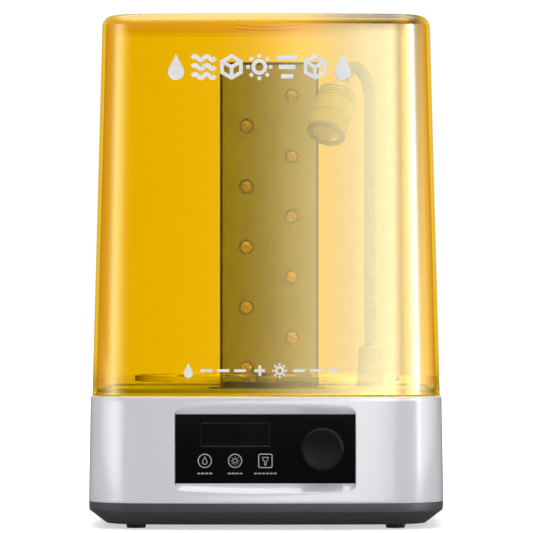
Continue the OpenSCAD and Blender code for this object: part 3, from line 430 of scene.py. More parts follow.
MATERIALS = {
    "amber": clear_plastic("amber_acrylic", (0.970, 0.832, 0.045), (0.78, 0.46, 0.04), rough=0.02,
                           fill_tint=(0.99, 0.93, 0.45), edge_power=14.0, grazing_mirror=0.3, mirrors=2),
    "white": moulded("white_abs", (0.803, 0.797, 0.838), 0.34, depth=0.004, mottle=0.012, coat=0.9,
                     coat_rough=0.05, specular=0.05),
    "dark": moulded("graphite_abs", (0.062, 0.062, 0.066), 0.42, depth=0.03, specular=0.3),
    "deck": moulded("deck_abs", (0.42, 0.42, 0.425), 0.25, depth=0.004),
    "rubber": moulded("foot_rubber", (0.02, 0.02, 0.02), 0.75, depth=0.05),
    "panel": moulded("piano_black", (0.002, 0.002, 0.0023), 0.05, depth=0.0005, specular=0.16),
    "window": clear_plastic("smoked_window", (0.62, 0.62, 0.64), (0.3, 0.3, 0.3), rough=0.05, ior=1.2),
    "segment": moulded("segment_grey", (0.014, 0.0145, 0.015), 0.5, specular=0.2),
    "display": moulded("display_black", (0.004, 0.004, 0.005), 0.4, specular=0.2),
    "print": moulded("screen_print", (0.97, 0.97, 0.95), 0.55, depth=0.01, mottle=0.02),
    "icon": moulded("icon_print", (0.42, 0.42, 0.43), 0.5, depth=0.005, mottle=0.04),
    "knob": moulded("knob_black", (0.009, 0.009, 0.010), 0.16, depth=0.003, specular=0.05),
    "circuit": moulded("solder_mask_green", (0.02, 0.13, 0.05), 0.3, grain=500),
    "white_board": moulded("solder_mask_white", (0.75, 0.75, 0.73), 0.35, grain=500),
    "module": moulded("component_black", (0.02, 0.02, 0.022), 0.45),
    "steel": metal("zinc_plate", (0.58, 0.58, 0.6), 0.32),
    "ground": metal("ground_steel", (0.68, 0.68, 0.69), 0.2, stretch=(1, 1, 0.05)),
    "nickel": metal("nickel_plate", (0.66, 0.65, 0.62), 0.18),
    "acetal": moulded("acetal", (0.74, 0.72, 0.66), 0.35, depth=0.01),
    "drive": moulded("drive_grey", (0.16, 0.16, 0.155), 0.32),
    "disc": clear_plastic("clear_disc", (0.90, 0.90, 0.84), (0.30, 0.30, 0.22), rough=0.04, haze=0.04),
    "column": powder_coat("column_black", (0.012, 0.012, 0.013), 0.45),
    "column_face": powder_coat("column_grey", (0.41, 0.41, 0.41), 0.38),
    "phosphor": moulded("phosphor_orange", (1.0, 0.66, 0.10), 0.3),
    "die": moulded("emitter_die", (0.62, 0.13, 0.03), 0.3),
    "lens": clear_plastic("lens_clear", (0.97, 0.95, 0.86), (0.92, 0.84, 0.5), rough=0.03, haze=0.2),
    "aluminium": metal("bare_aluminium", (0.7, 0.71, 0.72), 0.3, stretch=(1, 1, 0.04)),
    "neck": moulded("wound_strip", (0.02, 0.02, 0.02), 0.5, depth=0.01, specular=0.2),
    "lamp": moulded("lamp_anodised", (0.36, 0.36, 0.35), 0.5, depth=0.01, specular=0.25),
    "reflector": metal("reflector_polish", (0.78, 0.78, 0.77), 0.12),
    "rocker": moulded("rocker_black", (0.012, 0.012, 0.013), 0.25, depth=0.004),
    "bezel": moulded("lamp_bezel", (0.16, 0.16, 0.155), 0.4),
    "socket": moulded("socket_graphite", (0.09, 0.09, 0.092), 0.45),
    "plug": moulded("plug_rubber", (0.045, 0.045, 0.046), 0.55),
    "cable": moulded("cable_sleeve", (0.2, 0.02, 0.02), 0.5),
}


# ---------------------------------------------------------------- cover
def cover_inset(z):
    return COVER_INSET + (z - LEDGE_Z) * COVER_SLOPE


def cover_wall_rings(track, thickness, foot_round):
    """Rings from the cover's foot to the flat of its top, on the outside or (with a thickness) the inside."""
    edge_z = COVER_TOP - COVER_EDGE_R
    edge_r = COVER_EDGE_R - thickness
    rings = [ring(track, cover_inset(COVER_FOOT) + foot_round[0], COVER_FOOT),
             ring(track, cover_inset(COVER_FOOT) + foot_round[1], COVER_FOOT + 0.25 * MM)]
    heights = [COVER_FOOT + d * MM for d in (0.7, 1.1, 1.6)]
    heights += list(np.linspace(COVER_FOOT + 4 * MM, edge_z, 24))
    for z in heights:
        rings.append(ring(track, cover_inset(z) + thickness, z))
    for a in np.radians(np.linspace(0, 90, 13)[1:]):
        rings.append(ring(track, cover_inset(edge_z) + thickness + edge_r * (1 - math.cos(a)),
                          edge_z + edge_r * math.sin(a)))
    return rings


def top_rings(track, start, z, dish_r, dish_depth, edge_r):
    """Rings that turn the flat top's outline into the shallow round dish, and go down into it."""
    centre = Vector((0, MID_Y, 0))
    outer = ring(track, start, z)
    inner = circle_ring(track, centre, dish_r + edge_r, z)
    rings = [outer * (1 - f) + inner * f for f in np.linspace(0, 1, 9)[1:]]
    for a in np.radians(np.linspace(0, 90, 5)[1:]):
        rings.append(circle_ring(track, centre, dish_r + edge_r * (1 - math.sin(a)),
                                 z - dish_depth * (1 - math.cos(a))))
    rings.append(circle_ring(track, centre, dish_r * 0.5, z - dish_depth))
    return rings


def build_cover():
    track = stations()
    outer = cover_wall_rings(track, 0, (0.45 * MM, 0.1 * MM))
    inner = cover_wall_rings(track, WALL, (WALL - 0.45 * MM, WALL - 0.1 * MM))
    flat = cover_inset(COVER_TOP - COVER_EDGE_R) + COVER_EDGE_R
    dish = dict(dish_r=21 * MM, dish_depth=0.8 * MM, edge_r=1.2 * MM)
    outside = outer + top_rings(track, flat, COVER_TOP, **dish)
    inside = inner + top_rings(track, flat, COVER_TOP - WALL, **dish)
    shell = skin("cover_outer_skin", inside[::-1] + outside)
    low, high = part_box("cover_magnet")
    boss = box_mesh("magnet_boss", (low.x - 2 * MM, low.y - 1.2 * MM, low.z - 0.1 * MM),
                    (high.x + 2 * MM, high.y + 1.5 * MM, low.z + 8.9 * MM))
    bevel(boss, 0.8 * MM, 3)
    finish_piece(boss, "cover", "amber", "amber_cover")
    shell.name = "cover_shell"
    return finish_piece(shell, "cover", "amber", "amber_cover", "cover")


def bevel(piece, width, segments=2):
    """Rounds the piece's sharp edges."""
    modifier = piece.modifiers.new("edges", "BEVEL")
    modifier.width = width
    modifier.segments = segments
    modifier.limit_method = "ANGLE"
    modifier.angle_limit = math.radians(40)
    modifier.harden_normals = True
    return piece


# ---------------------------------------------------------------- casing
PANEL_LOW, PANEL_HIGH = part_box("front_panel")
PANEL_W = PANEL_HIGH.x - PANEL_LOW.x
PANEL_H = PANEL_HIGH.z - PANEL_LOW.z
PANEL_Z = (PANEL_HIGH.z + PANEL_LOW.z) / 2
PANEL_FACE = PANEL_LOW.y
PANEL_GAP = 0.1 * MM
PAD_Y = MID_Y + HALF_D - 4 * MM
PAD_X = 45 * MM
PAD_Z = 46 * MM
PAD_W = 56 * MM
PAD_H = 36 * MM


def smooth_deeper(surface, scoop, softness):
    """The larger of two numbers, rounded over where they are equal."""
    gap = surface - scoop
    return (surface + scoop + np.sqrt(gap * gap + softness * softness)) / 2


def scoop_depth(x, z):
    """The plane behind the panel, rising at 45 degrees above and below it and steeply at its ends."""
    above = np.maximum(0, np.abs(z - PANEL_Z) - PANEL_H / 2 - PANEL_GAP)
    beyond = np.maximum(0, np.abs(x) - PANEL_W / 2 - PANEL_GAP)
    run = np.clip((np.abs(x) - (PANEL_W / 2 - 4.5 * MM)) / (5 * MM), 0, 1)
    fullness = np.maximum(0.05, np.sqrt(1 - run * run))
    return PANEL_FACE - above / fullness - 10 * beyond


def pad_depth(x, z):
    """The flat pad round the sockets at the back, with steep sides and round corners."""
    radius = 4 * MM
    px = np.maximum(0, np.abs(x - PAD_X) - (PAD_W / 2 - radius))
    pz = np.maximum(0, np.abs(z - PAD_Z) - (PAD_H / 2 - radius))
    return PAD_Y + 6 * np.maximum(0, np.hypot(px, pz) - radius)


def casing_ring(track, inset, z, wall=0.0, pocket=False):
    """A ring of the casing's skin, pressed in at the panel and at the sockets. wall is the depth below the
    outside."""
    points = ring(track, inset + wall, z)
    x, y = points[:, 0], points[:, 1]
    front = y < MID_Y - HALF_D * 0.8
    back = y > MID_Y + HALF_D * 0.8
    deep = smooth_deeper(y, scoop_depth(x, z) + wall, 0.4 * MM)
    if pocket:
        inside = np.abs(x) < PANEL_W / 2 + PANEL_GAP / 2
        if abs(z - PANEL_Z) < PANEL_H / 2 + PANEL_GAP / 2:
            deep = np.where(inside, PANEL_HIGH.y + 0.35 * MM, deep)
    shallow = -smooth_deeper(-y, -(pad_depth(x, z) - wall), 0.4 * MM)
    points[:, 1] = np.where(front, deep, np.where(back, shallow, y))
    return points


def mirrored_steps(values):
    return sorted({round(s * v, 6) for v in values for s in (-1, 1)})


def casing_columns():
    end = PANEL_W / 2
    near_end = [end - d * MM for d in (12, 8, 6, 5, 4.4, 3.9, 3.4, 2.9, 2.4, 1.9, 1.4, 1.0, 0.6, 0.3)]
    past_end = [end + d * MM for d in (0.04, 0.1, 0.2, 0.3, 0.4, 0.5, 0.6, 0.75, 0.9, 1.2, 1.8, 3, 5, 8, 12)]
    front = mirrored_steps([v * MM for v in range(0, 46, 3)] + near_end + past_end + [FRONT_END])
    pad_edges = [PAD_X + s * (PAD_W / 2 + d * MM) for s in (-1, 1)
                 for d in (-6, -4, -3, -2, -1.2, -0.6, -0.3, 0, 0.15, 0.3, 0.5, 0.8, 1.4, 3)]
    pad_edges = [x for x in pad_edges if x < FRONT_END - 1 * MM]
    spread = [x * MM for x in range(-76, 77, 4) if all(abs(x * MM - e) > 1.5 * MM for e in pad_edges)]
    back = sorted(pad_edges + spread + [-FRONT_END, FRONT_END])
    return front, back


def casing_rows():
    """Heights of the casing's rings, close together where the panel's scoop and the pad turn."""
    top, bottom = PANEL_Z + PANEL_H / 2, PANEL_Z - PANEL_H / 2
    pad_edges = [PAD_Z + s * (PAD_H / 2 + d * MM) for s in (-1, 1)
                 for d in (-4, -3, -2, -1.2, -0.6, -0.2, 0, 0.15, 0.3, 0.5, 0.8)]
    fine = [bottom - 9 * MM + i * 0.4 * MM for i in range(22)]
    fine += [top + 0.2 * MM + i * 0.4 * MM for i in range(22)]
    steps = [bottom - 0.1 * MM, bottom - 0.04 * MM, top + 0.04 * MM, top + 0.1 * MM]
    plain = [v * MM for v in range(19, 86, 3)]
    plain = [v for v in plain if all(abs(v - f) > 0.5 * MM for f in fine + pad_edges + steps)]
    return sorted(fine + steps + pad_edges + plain)


def case_inset(z):
    return CASE_DRAFT * max(0.0, (z - SEAM_Z) / (LEDGE_Z - 1 * MM - SEAM_Z))


def build_casing():
    track = stations(*casing_columns())
    rings = [ring(track, 0.35 * MM, SEAM_Z), ring(track, 0.1 * MM, SEAM_Z + 0.1 * MM),
             ring(track, 0.0, SEAM_Z + 0.35 * MM)]
    rows = [z for z in casing_rows() if z < LEDGE_Z - 1.2 * MM]
    rings += [casing_ring(track, case_inset(z), z, pocket=True) for z in rows]
    top = CASE_DRAFT + 1 * MM
    rings += [ring(track, top - 1 * MM * math.cos(a), LEDGE_Z - 1 * MM + 1 * MM * math.sin(a))
              for a in np.radians(np.linspace(0, 90, 7))]
    lip = [(LIP_INSET - 0.3 * MM, LEDGE_Z), (LIP_INSET, LEDGE_Z + 0.3 * MM), (LIP_INSET, LIP_Z - 0.4 * MM),
           (LIP_INSET + 0.4 * MM, LIP_Z), (LEDGE_INSET - 0.4 * MM, LIP_Z), (LEDGE_INSET, LIP_Z - 0.4 * MM),
           (LEDGE_INSET, LEDGE_Z - WALL), (WALL + CASE_DRAFT + 3 * MM, LEDGE_Z - WALL)]
    rings += [ring(track, inset, z) for inset, z in lip]
    inner = np.linspace(LEDGE_Z - 5 * MM, SEAM_Z + 6 * MM, 34)
    rings += [casing_ring(track, CASE_DRAFT, z, wall=WALL) for z in inner]
    rings += [ring(track, WALL + CASE_DRAFT, SEAM_Z + 3 * MM), ring(track, WALL + CASE_DRAFT, SEAM_Z)]
    shell = skin("casing_shell", rings, closed=True)
    vents = [box_mesh("vent", ((-18 - 6 * i) * MM, HALF_D - 12 * MM, PAD_Z - 13 * MM),
                      ((-15.6 - 6 * i) * MM, HALF_D + 10 * MM, PAD_Z + 13 * MM)) for i in range(9)]
    cut(shell, joined("vents", vents))
    soften(shell)
    return finish_piece(shell, "base", "white", "white_shell", "casing")


# ---------------------------------------------------------------- tray
def build_tray():
    track = stations()
    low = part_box("bottom_tray")[0].z
    edge_z = 11.8 * MM
    bottom_inset = 11 * MM
    profile = [(bottom_inset + 1.5 * MM, low), (bottom_inset + 0.5 * MM, low + 0.2 * MM),
               (bottom_inset, low + 0.7 * MM), (1.5 * MM, edge_z - 1.0 * MM), (0.6 * MM, edge_z - 0.35 * MM),
               (0.3 * MM, edge_z), (0.25 * MM, edge_z + 0.6 * MM), (0.05 * MM, SEAM_Z - 0.6 * MM),
               (0.15 * MM, SEAM_Z - 0.15 * MM), (0.45 * MM, SEAM_Z), (WALL, SEAM_Z),
               (WALL, edge_z + 0.5 * MM), (bottom_inset + 1.2 * MM, low + 2.4 * MM)]
    shell = skin("tray_shell", [ring(track, inset, z) for inset, z in profile], angle=28)
    slots = [box_mesh("slot", ((14 + 6 * i) * MM, MID_Y - 58 * MM, low - 1 * MM),
                      ((16.4 + 6 * i) * MM, MID_Y - 22 * MM, low + 4 * MM)) for i in range(11)]
    cut(shell, joined("slots", slots))
    reach = 22 * MM / math.sqrt(2)
    wells = []
    for sx in (-1, 1):
        for sy in (-1, 1):
            well = lathe("well", [(0, -1 * MM), (3.2 * MM, -1 * MM), (3.2 * MM, 2.2 * MM), (0, 2.2 * MM)], 32)
            spot = (sx * (CORNER[0] + reach), MID_Y + sy * (CORNER[1] + reach), low)
            wells.append(place(well, Matrix.Translation(spot)))
    cut(shell, joined("screw_wells", wells))
    soften(shell, 28)
    return finish_piece(shell, "base", "dark", "dark_shell", "bottom_tray")


# ---------------------------------------------------------------- deck
def build_deck():
    track = stations()
    well = Vector((TABLE_AXIS.x, TABLE_AXIS.y, 0))
    well_r, well_wall, floor_z = 33 * MM, 1.8 * MM, 85 * MM
    outer = [(LEDGE_INSET, DECK_Z - WALL), (LEDGE_INSET, LIP_Z + 0.05 * MM), (LIP_INSET, LIP_Z + 0.05 * MM),
             (LIP_INSET, RIM_Z - 0.5 * MM), (LIP_INSET + 0.15 * MM, RIM_Z - 0.15 * MM),
             (LIP_INSET + 0.5 * MM, RIM_Z), (LEDGE_INSET + 1.4 * MM, RIM_Z),
             (LEDGE_INSET + 1.8 * MM, RIM_Z - 0.3 * MM), (LEDGE_INSET + 2 * MM, RIM_Z - 0.8 * MM),
             (LEDGE_INSET + 2.2 * MM, DECK_Z)]
    rings = [ring(track, inset, z) for inset, z in outer]
    start = rings[-1]
    mouth = circle_ring(track, well, well_r + 0.6 * MM, DECK_Z)
    rings += [start * (1 - f) + mouth * f for f in np.linspace(0, 1, 6)[1:]]
    rings += [circle_ring(track, well, well_r, DECK_Z - 0.6 * MM), circle_ring(track, well, well_r, floor_z),
              circle_ring(track, well, 8 * MM, floor_z)]
    under = [circle_ring(track, well, 8 * MM, floor_z - well_wall),
             circle_ring(track, well, well_r + well_wall, floor_z - well_wall),
             circle_ring(track, well, well_r + well_wall, DECK_Z - WALL)]
    plate = skin("deck_moulding", under + rings, angle=30)
    return finish_piece(plate, "base", "deck", "deck_grey", "deck_plate")


# ---------------------------------------------------------------- printed marks
def mitred(points, width, closed):
    """Both edges of a line of even width through 2-D points."""
    pts = np.array(points, float)
    after = np.roll(pts, -1, axis=0) - pts
    if not closed:
        after[-1] = after[-2]
    after /= np.linalg.norm(after, axis=1)[:, None]
    before = np.roll(after, 1, axis=0)
    if not closed:
        before[0] = after[0]
    across = np.column_stack([-(after + before)[:, 1], (after + before)[:, 0]])
    across /= np.linalg.norm(across, axis=1)[:, None]
    square = np.column_stack([-after[:, 1], after[:, 0]])
    reach = width / 2 / np.maximum(0.5, (across * square).sum(axis=1))
    return pts + across * reach[:, None], pts - across * reach[:, None]


def divided(points, closed, step):
    """The same line with points no further apart than step."""
    pts = [np.array(p, float) for p in points]
    ends = pts + pts[:1] if closed else pts
    out = []
    for a, b in zip(ends, ends[1:]):
        n = max(1, math.ceil(np.linalg.norm(b - a) / step))
        out += [a + (b - a) * i / n for i in range(n)]
    return out if closed else out + [pts[-1]]


def marks(name, strokes, fills, surface, proud=0.04 * MM, sunk=0.1 * MM):
    """A thin print on a surface that faces the front. Each stroke is (points, width, closed) in x and z, each
    fill an outline; surface gives y at (x, z)."""
    points, faces = [], []

    def layer(flat, offset):
        start = len(points)
        points.extend((x, surface(x, z) + offset, z) for x, z in flat)
        return start

    for line, width, closed in strokes:
        left, right = mitred(divided(line, closed, 4 * MM), width, closed)
        n = len(left)
        lf, rf = layer(left, -proud), layer(right, -proud)
        lb, rb = layer(left, sunk), layer(right, sunk)
        for i in range(n if closed else n - 1):
            j = (i + 1) % n
            faces += [(lf + i, lf + j, rf + j, rf + i), (lb + i, rb + i, rb + j, lb + j),
                      (lf + i, lb + i, lb + j, lf + j), (rf + i, rf + j, rb + j, rb + i)]
        if not closed:
            faces += [(lf, rf, rb, lb), (lf + n - 1, lb + n - 1, rb + n - 1, rf + n - 1)]
    for outline in fills:
        n = len(outline)
        front, back = layer(outline, -proud), layer(outline, sunk)
        faces += [tuple(range(front, front + n)), tuple(range(back + n - 1, back - 1, -1))]
        faces += [(front + i, back + i, back + (i + 1) % n, front + (i + 1) % n) for i in range(n)]
    return mesh_piece(name, points, faces)


def drop_outline(x, z, height):
    """A drop standing on its round end, as tall as height."""
    radius = height * 0.31
    middle_z = z - height / 2 + radius
    return [(x, z + height / 2)] + arc_points(x, middle_z, radius, 153, 387, 24)


def sun_strokes(x, z, radius, width):
    strokes = [(arc_points(x, z, radius * 0.46), width, True)]
    for i in range(8):
        a = math.radians(45 * i)
        strokes.append(([(x + radius * f * math.cos(a), z + radius * f * math.sin(a)) for f in (0.72, 1.0)],
                        width, False))
    return strokes


def cube_strokes(x, z, radius, width):
    corners = arc_points(x, z, radius, 30, 390, 6)
    return [(corners, width, True)] + [([(x, z), corners[i]], width, False) for i in (0, 2, 4)]


def wave_strokes(x, z, length, gap, width):
    rows = []
    for row in (-1, 0, 1):
        line = [(x + length * (i / 24 - 0.5), z + row * gap + gap * 0.22 * math.sin(i / 24 * 4 * math.pi))
                for i in range(25)]
        rows.append((line, width, False))
    return rows


def dash(x, z, length, width):
    return ([(x - length / 2, z), (x + length / 2, z)], width, False)


def cover_front(x, z):
    """y of the cover's front face."""
    centre = MID_Y - HALF_D + FRONT_ARC_R
    return centre - math.sqrt((FRONT_ARC_R - cover_inset(z)) ** 2 - x * x)


def build_cover_prints():
    x, z, size, line = -3.9 * MM, 304.2 * MM, 17.2 * MM, 2.9 * MM
    pitch = 18.3 * MM
    at = [x + pitch * (i - 3) for i in range(7)]
    strokes = wave_strokes(at[1], z, 15.4 * MM, 5.9 * MM, line)
    strokes += cube_strokes(at[2], z, (size - line) / 2, line * 0.85)
    strokes += sun_strokes(at[3], z, size / 2, line * 0.85)
    strokes += [dash(at[4], z + row * 6.2 * MM, (14 - abs(row - 1) * 3) * MM, line) for row in (-1, 0, 1)]
    strokes += cube_strokes(at[5], z, (size - line) / 2, line * 0.85)
    fills = [drop_outline(at[0], z, size), drop_outline(at[6], z, size)]
    upper = marks("cover_marks_upper", strokes, fills, cover_front)
    finish_piece(upper, "cover", "print", "milky_plastic")
    x, z, size, line = -2.5 * MM, 104.6 * MM, 9.6 * MM, 1.9 * MM
    strokes = [dash(x + dx * MM, z, 8 * MM, line) for dx in (-36, -25, -14, 25, 36, 47)]
    cross_x, arm = x - 1 * MM, 3.5 * MM
    strokes += [dash(cross_x, z, 2 * arm, line), ([(cross_x, z - arm), (cross_x, z + arm)], line, False)]
    strokes += sun_strokes(x + 12 * MM, z, size / 2, line * 0.8)
    lower = marks("cover_marks_lower", strokes, [drop_outline(x - 48 * MM, z, size)], cover_front)
    finish_piece(lower, "cover", "print", "milky_plastic")


def build_panel_icons():
    """Generic signs for washing, curing and the lamp, with plain dashes where captions would go."""
    low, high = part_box("icon_light_guides")
    z, line = middle("icon_light_guides").z, 0.62 * MM
    left, right = low.x + 2.5 * MM, high.x - 2.5 * MM
    centre = (left + right) / 2
    strokes = [(arc_points(x, z, 4.35 * MM), line, True) for x in (left, centre)]
    side, r = 3.4 * MM, 1 * MM
    square = [p for sx, sz, start in ((1, 1, 0), (-1, 1, 90), (-1, -1, 180), (1, -1, 270))
              for p in arc_points(right + sx * side, z + sz * side, r, start, start + 90, 5)]
    strokes.append((square, line, True))
    strokes.append((drop_outline(left, z + 0.2 * MM, 4.9 * MM), 0.5 * MM, True))
    strokes += sun_strokes(centre, z, 2.9 * MM, 0.45 * MM)
    half = [(1.9, 2.3), (1.6, 0.7), (0.6, -0.3), (0.6, -2.6)]
    around = [(-1.9, 2.3)] + half + [(-dx, dz) for dx, dz in half[:0:-1]]
    lamp = [(right + dx * MM, z + dz * MM) for dx, dz in around]
    strokes.append((lamp, 0.45 * MM, True))
    for x, count in ((left, 4), (centre, 4), (right, 6)):
        places = [x + 2.6 * MM * (i - (count - 1) / 2) for i in range(count)]
        strokes += [dash(at, 37 * MM, 1.9 * MM, 0.9 * MM) for at in places]
    icons = marks("panel_icons", strokes, [], lambda x, z: PANEL_FACE, proud=0.02 * MM, sunk=0.05 * MM)
    finish_piece(icons, "base", "icon", "milky_plastic")


# ---------------------------------------------------------------- knob
def build_knob():
    low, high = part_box("knob")
    radius, length = (high.x - low.x) / 2, high.y - low.y
    profile = [(0, length - 0.25 * MM), (radius * 0.5, length - 0.22 * MM),
               (radius * 0.8, length - 0.08 * MM), (radius - 1.5 * MM, length)]
    profile += arc_points(radius - 1.1 * MM, length - 1.1 * MM, 1.1 * MM, 80, 0, 6)
    skirt_r, bore_r, ceiling, socket = radius - 1.8 * MM, 3.02 * MM, length - 2 * MM, length - 2.9 * MM
    profile += [(radius, 0.5 * MM), (radius - 0.4 * MM, 0), (radius - 1.4 * MM, 0), (skirt_r, 0.4 * MM),
                (skirt_r, ceiling), (5.4 * MM, ceiling), (5.4 * MM, 1.8 * MM), (bore_r, 1.8 * MM),
                (bore_r, socket), (0, socket)]
    knob = lathe("knob_cap", profile, 128, 25)
    place(knob, Matrix.Translation((middle("knob").x, high.y, middle("knob").z)) @ along_y())
    finish_piece(knob, "knob", "knob", "knob_black", "knob")


# ---------------------------------------------------------------- LEDs
CHIP_HALF = 2.6 * MM


def led_places():
    """The two staggered rows: the right one starts half a pitch above the left one."""
    low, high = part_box("led_emitters")
    pitch = (high.z - low.z - 2 * CHIP_HALF) / 4.5
    for side, first in ((1, high.z - CHIP_HALF), (-1, high.z - CHIP_HALF - pitch / 2)):
        for i in range(5):
            yield side * (high.x - CHIP_HALF), first - i * pitch


def build_leds():
    low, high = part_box("led_emitters")
    lens_low, lens_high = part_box("led_lenses")
    radius = (lens_high.x - lens_low.x - 32 * MM) / 2
    height = lens_high.y - lens_low.y
    dome = [(0, height)] + arc_points(0, height - radius, radius, 84, 6, 12)
    dome += [(radius, 1.6 * MM), (radius, 0.3 * MM), (radius - 0.3 * MM, 0), (4.1 * MM, 0),
             (4.1 * MM, 1.5 * MM), (0, 1.5 * MM)]
    lenses, chips, dies = [], [], []
    for x, z in led_places():
        lens = lathe("lens", dome, 40, 40)
        lenses.append(place(lens, Matrix.Translation((x, lens_high.y, z)) @ along_y()))
        chips.append(box_mesh("chip", (x - CHIP_HALF, low.y, z - CHIP_HALF),
                              (x + CHIP_HALF, high.y, z + CHIP_HALF)))
        for dx, dz in ((-1, 1), (1, -1)):
            cx, cz = x + dx * 0.85 * MM, z + dz * 0.85 * MM
            dies.append(box_mesh("die", (cx - 0.75 * MM, low.y - 0.12 * MM, cz - 0.75 * MM),
                                 (cx + 0.75 * MM, low.y + 0.05 * MM, cz + 0.75 * MM)))
    domes = joined("led_domes", lenses)
    soften(domes, 40)
    finish_piece(domes, "base", "lens", "clear_lens", "led_lenses")
    chip_piece = bevel(joined("led_chips", chips), 0.25 * MM)
    finish_piece(chip_piece, "base", "phosphor", "emitter_orange", "led_emitters")
    finish_piece(joined("led_dies", dies), "base", "die", "emitter_orange")


# ---------------------------------------------------------------- gooseneck lamp
LAMP = joint_at("lamp_swivel")
HEAD = joint_at("head_tilt")
BEND_Z = 290 * MM
BEND_R = 24 * MM
BEND_ANGLE = math.radians(146)
NECK_R = 4.3 * MM
HEAD_R = 13.5
HEADING = math.atan2(HEAD.y - LAMP.y, HEAD.x - LAMP.x)


def at_head():
    """From the lamp head's own frame, where +Z is the way it shines, to the row frame."""
    return (Matrix.Translation(HEAD) @ Matrix.Rotation(HEADING, 4, "Z") @ Matrix.Rotation(BEND_ANGLE, 4, "Y"))


def neck_point(s):
    """Place and direction on the tube's centre line, s metres past the bend's start, or before it."""
    forward = Vector((math.cos(HEADING), math.sin(HEADING), 0))
    foot = Vector((LAMP.x, LAMP.y, BEND_Z))
    if s <= 0:
        return foot + Vector((0, 0, s)), Vector((0, 0, 1))
    a = s / BEND_R
    place_at = foot + forward * BEND_R * (1 - math.cos(a)) + Vector((0, 0, BEND_R * math.sin(a)))
    return place_at, forward * math.sin(a) + Vector((0, 0, math.cos(a)))


def neck_piece(name, start, end, segments=32):
    """A length of the ribbed tube between two distances along its centre line."""
    pitch, depth, per_rib = 1.6 * MM, 0.11 * MM, 6
    side = Vector((-math.sin(HEADING), math.cos(HEADING), 0))
    turn = np.arange(segments) * 2 * math.pi / segments
    rings = []
    for s in np.linspace(start, end, round((end - start) / pitch * per_rib) + 1):
        centre, along = neck_point(s)
        up = along.cross(side)
        radius = NECK_R + depth * (abs(math.cos(math.pi * s / pitch)) * 2 - 1.3)
        rings.append(np.array([centre + radius * (side * math.cos(a) + up * math.sin(a)) for a in turn]))
    return skin(name, rings, angle=60)


def build_neck():
    """The tube in three lengths. Known fault: in the pose all_min, with
    lamp_swivel and neck_sway both at their limits, the low and the middle length part by about 6 mm."""
    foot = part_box("lamp_plug")[1].z - BEND_Z
    low_end, high_end = 187.5 * MM - BEND_Z, BEND_R * math.radians(75)
    tip = BEND_R * BEND_ANGLE
    pieces = [("neck_tube_low", foot, low_end, "gooseneck_lower"),
              ("neck_tube_mid", low_end, high_end, "gooseneck_middle"),
              ("neck_tube_top", high_end, tip, "gooseneck_upper")]
    tubes = []
    for name, start, end, node in pieces:
        tube = neck_piece(name, start, end)
        dress(tube, "neck")
        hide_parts(node)
        tubes.append(tube)
    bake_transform(tubes[0])
    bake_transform(tubes[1])
    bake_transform(tubes[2])


def build_lamp_head():
    """Barrel, ring, mirror, glass and chip, as profiles in millimetres from the head's joint."""
    r, start, end = HEAD_R, 10, 44
    body = [(0, 3.4), (4.7, 3.4), (4.9, 2), (5.7, 2), (6, 2.3), (6, start - 0.4), (6.4, start)]
    body += arc_points(r - 1.6, start + 1.6, 1.6, -90, 0, 6)
    grooves = [(start + 3 + i * 2.2, 0.8, 1.0) for i in range(4)]
    grooves.append((start + 22, 0.7, 0.5))
    for z, width, depth in grooves:
        body += [(r, z), (r - 0.15, z + 0.05), (r - depth, z + 0.12), (r - depth, z + width - 0.12),
                 (r - 0.15, z + width - 0.05), (r, z + width)]
    body += [(r, end - 0.2), (r - 0.2, end), (r - 1.9, end), (r - 1.9, end - 11), (0, end - 11)]
    top = end + 2.5
    bezel = [(r - 2.25, end + 0.02), (r - 0.3, end + 0.02), (r, end + 0.3), (r, top - 0.8),
             (r - 0.25, top - 0.25), (r - 0.8, top), (r - 2.6, top), (r - 3.3, top - 0.25),
             (r - 3.6, top - 0.7), (r - 2.25, top - 0.78)]
    cone = [(r - 2.1, end - 0.3), (r - 2.9, end - 0.3), (r - 3.3, end - 1), (7.6, end - 4.2),
            (5.2, end - 6.6), (3.2, end - 8.6), (4.2, end - 8.6), (8.8, end - 4.2), (r - 2.1, end - 0.9)]
    lens = [(0, end + 1.9), (4, end + 1.85), (8, end + 1.65), (r - 2.3, end + 1.3), (r - 2.3, end - 0.2),
            (0, end - 0.2)]
    emitter = [(0, end - 7.3), (1.4, end - 7.4), (2.2, end - 8), (2.3, end - 9.2), (r - 2.1, end - 9.3),
               (r - 2.1, end - 10.9), (0, end - 10.9)]
    parts = [("lamp_barrel", body, "lamp", "lamp_metal", "lamp_head"),
             ("lamp_ring", bezel, "bezel", "lamp_metal", "lamp_bezel"),
             ("lamp_mirror", cone, "reflector", "reflector_chrome", "lamp_reflector"),
             ("lamp_glass", lens, "lens", "clear_lens", "lamp_lens"),
             ("lamp_chip", emitter, "phosphor", "emitter_orange", "lamp_emitter")]
    for name, profile, look, slot, node in parts:
        metres = [(radius * MM, z * MM) for radius, z in profile]
        piece = place(lathe(name, metres, 96, 28), at_head())
        finish_piece(piece, "lamp_head", look, slot, node)


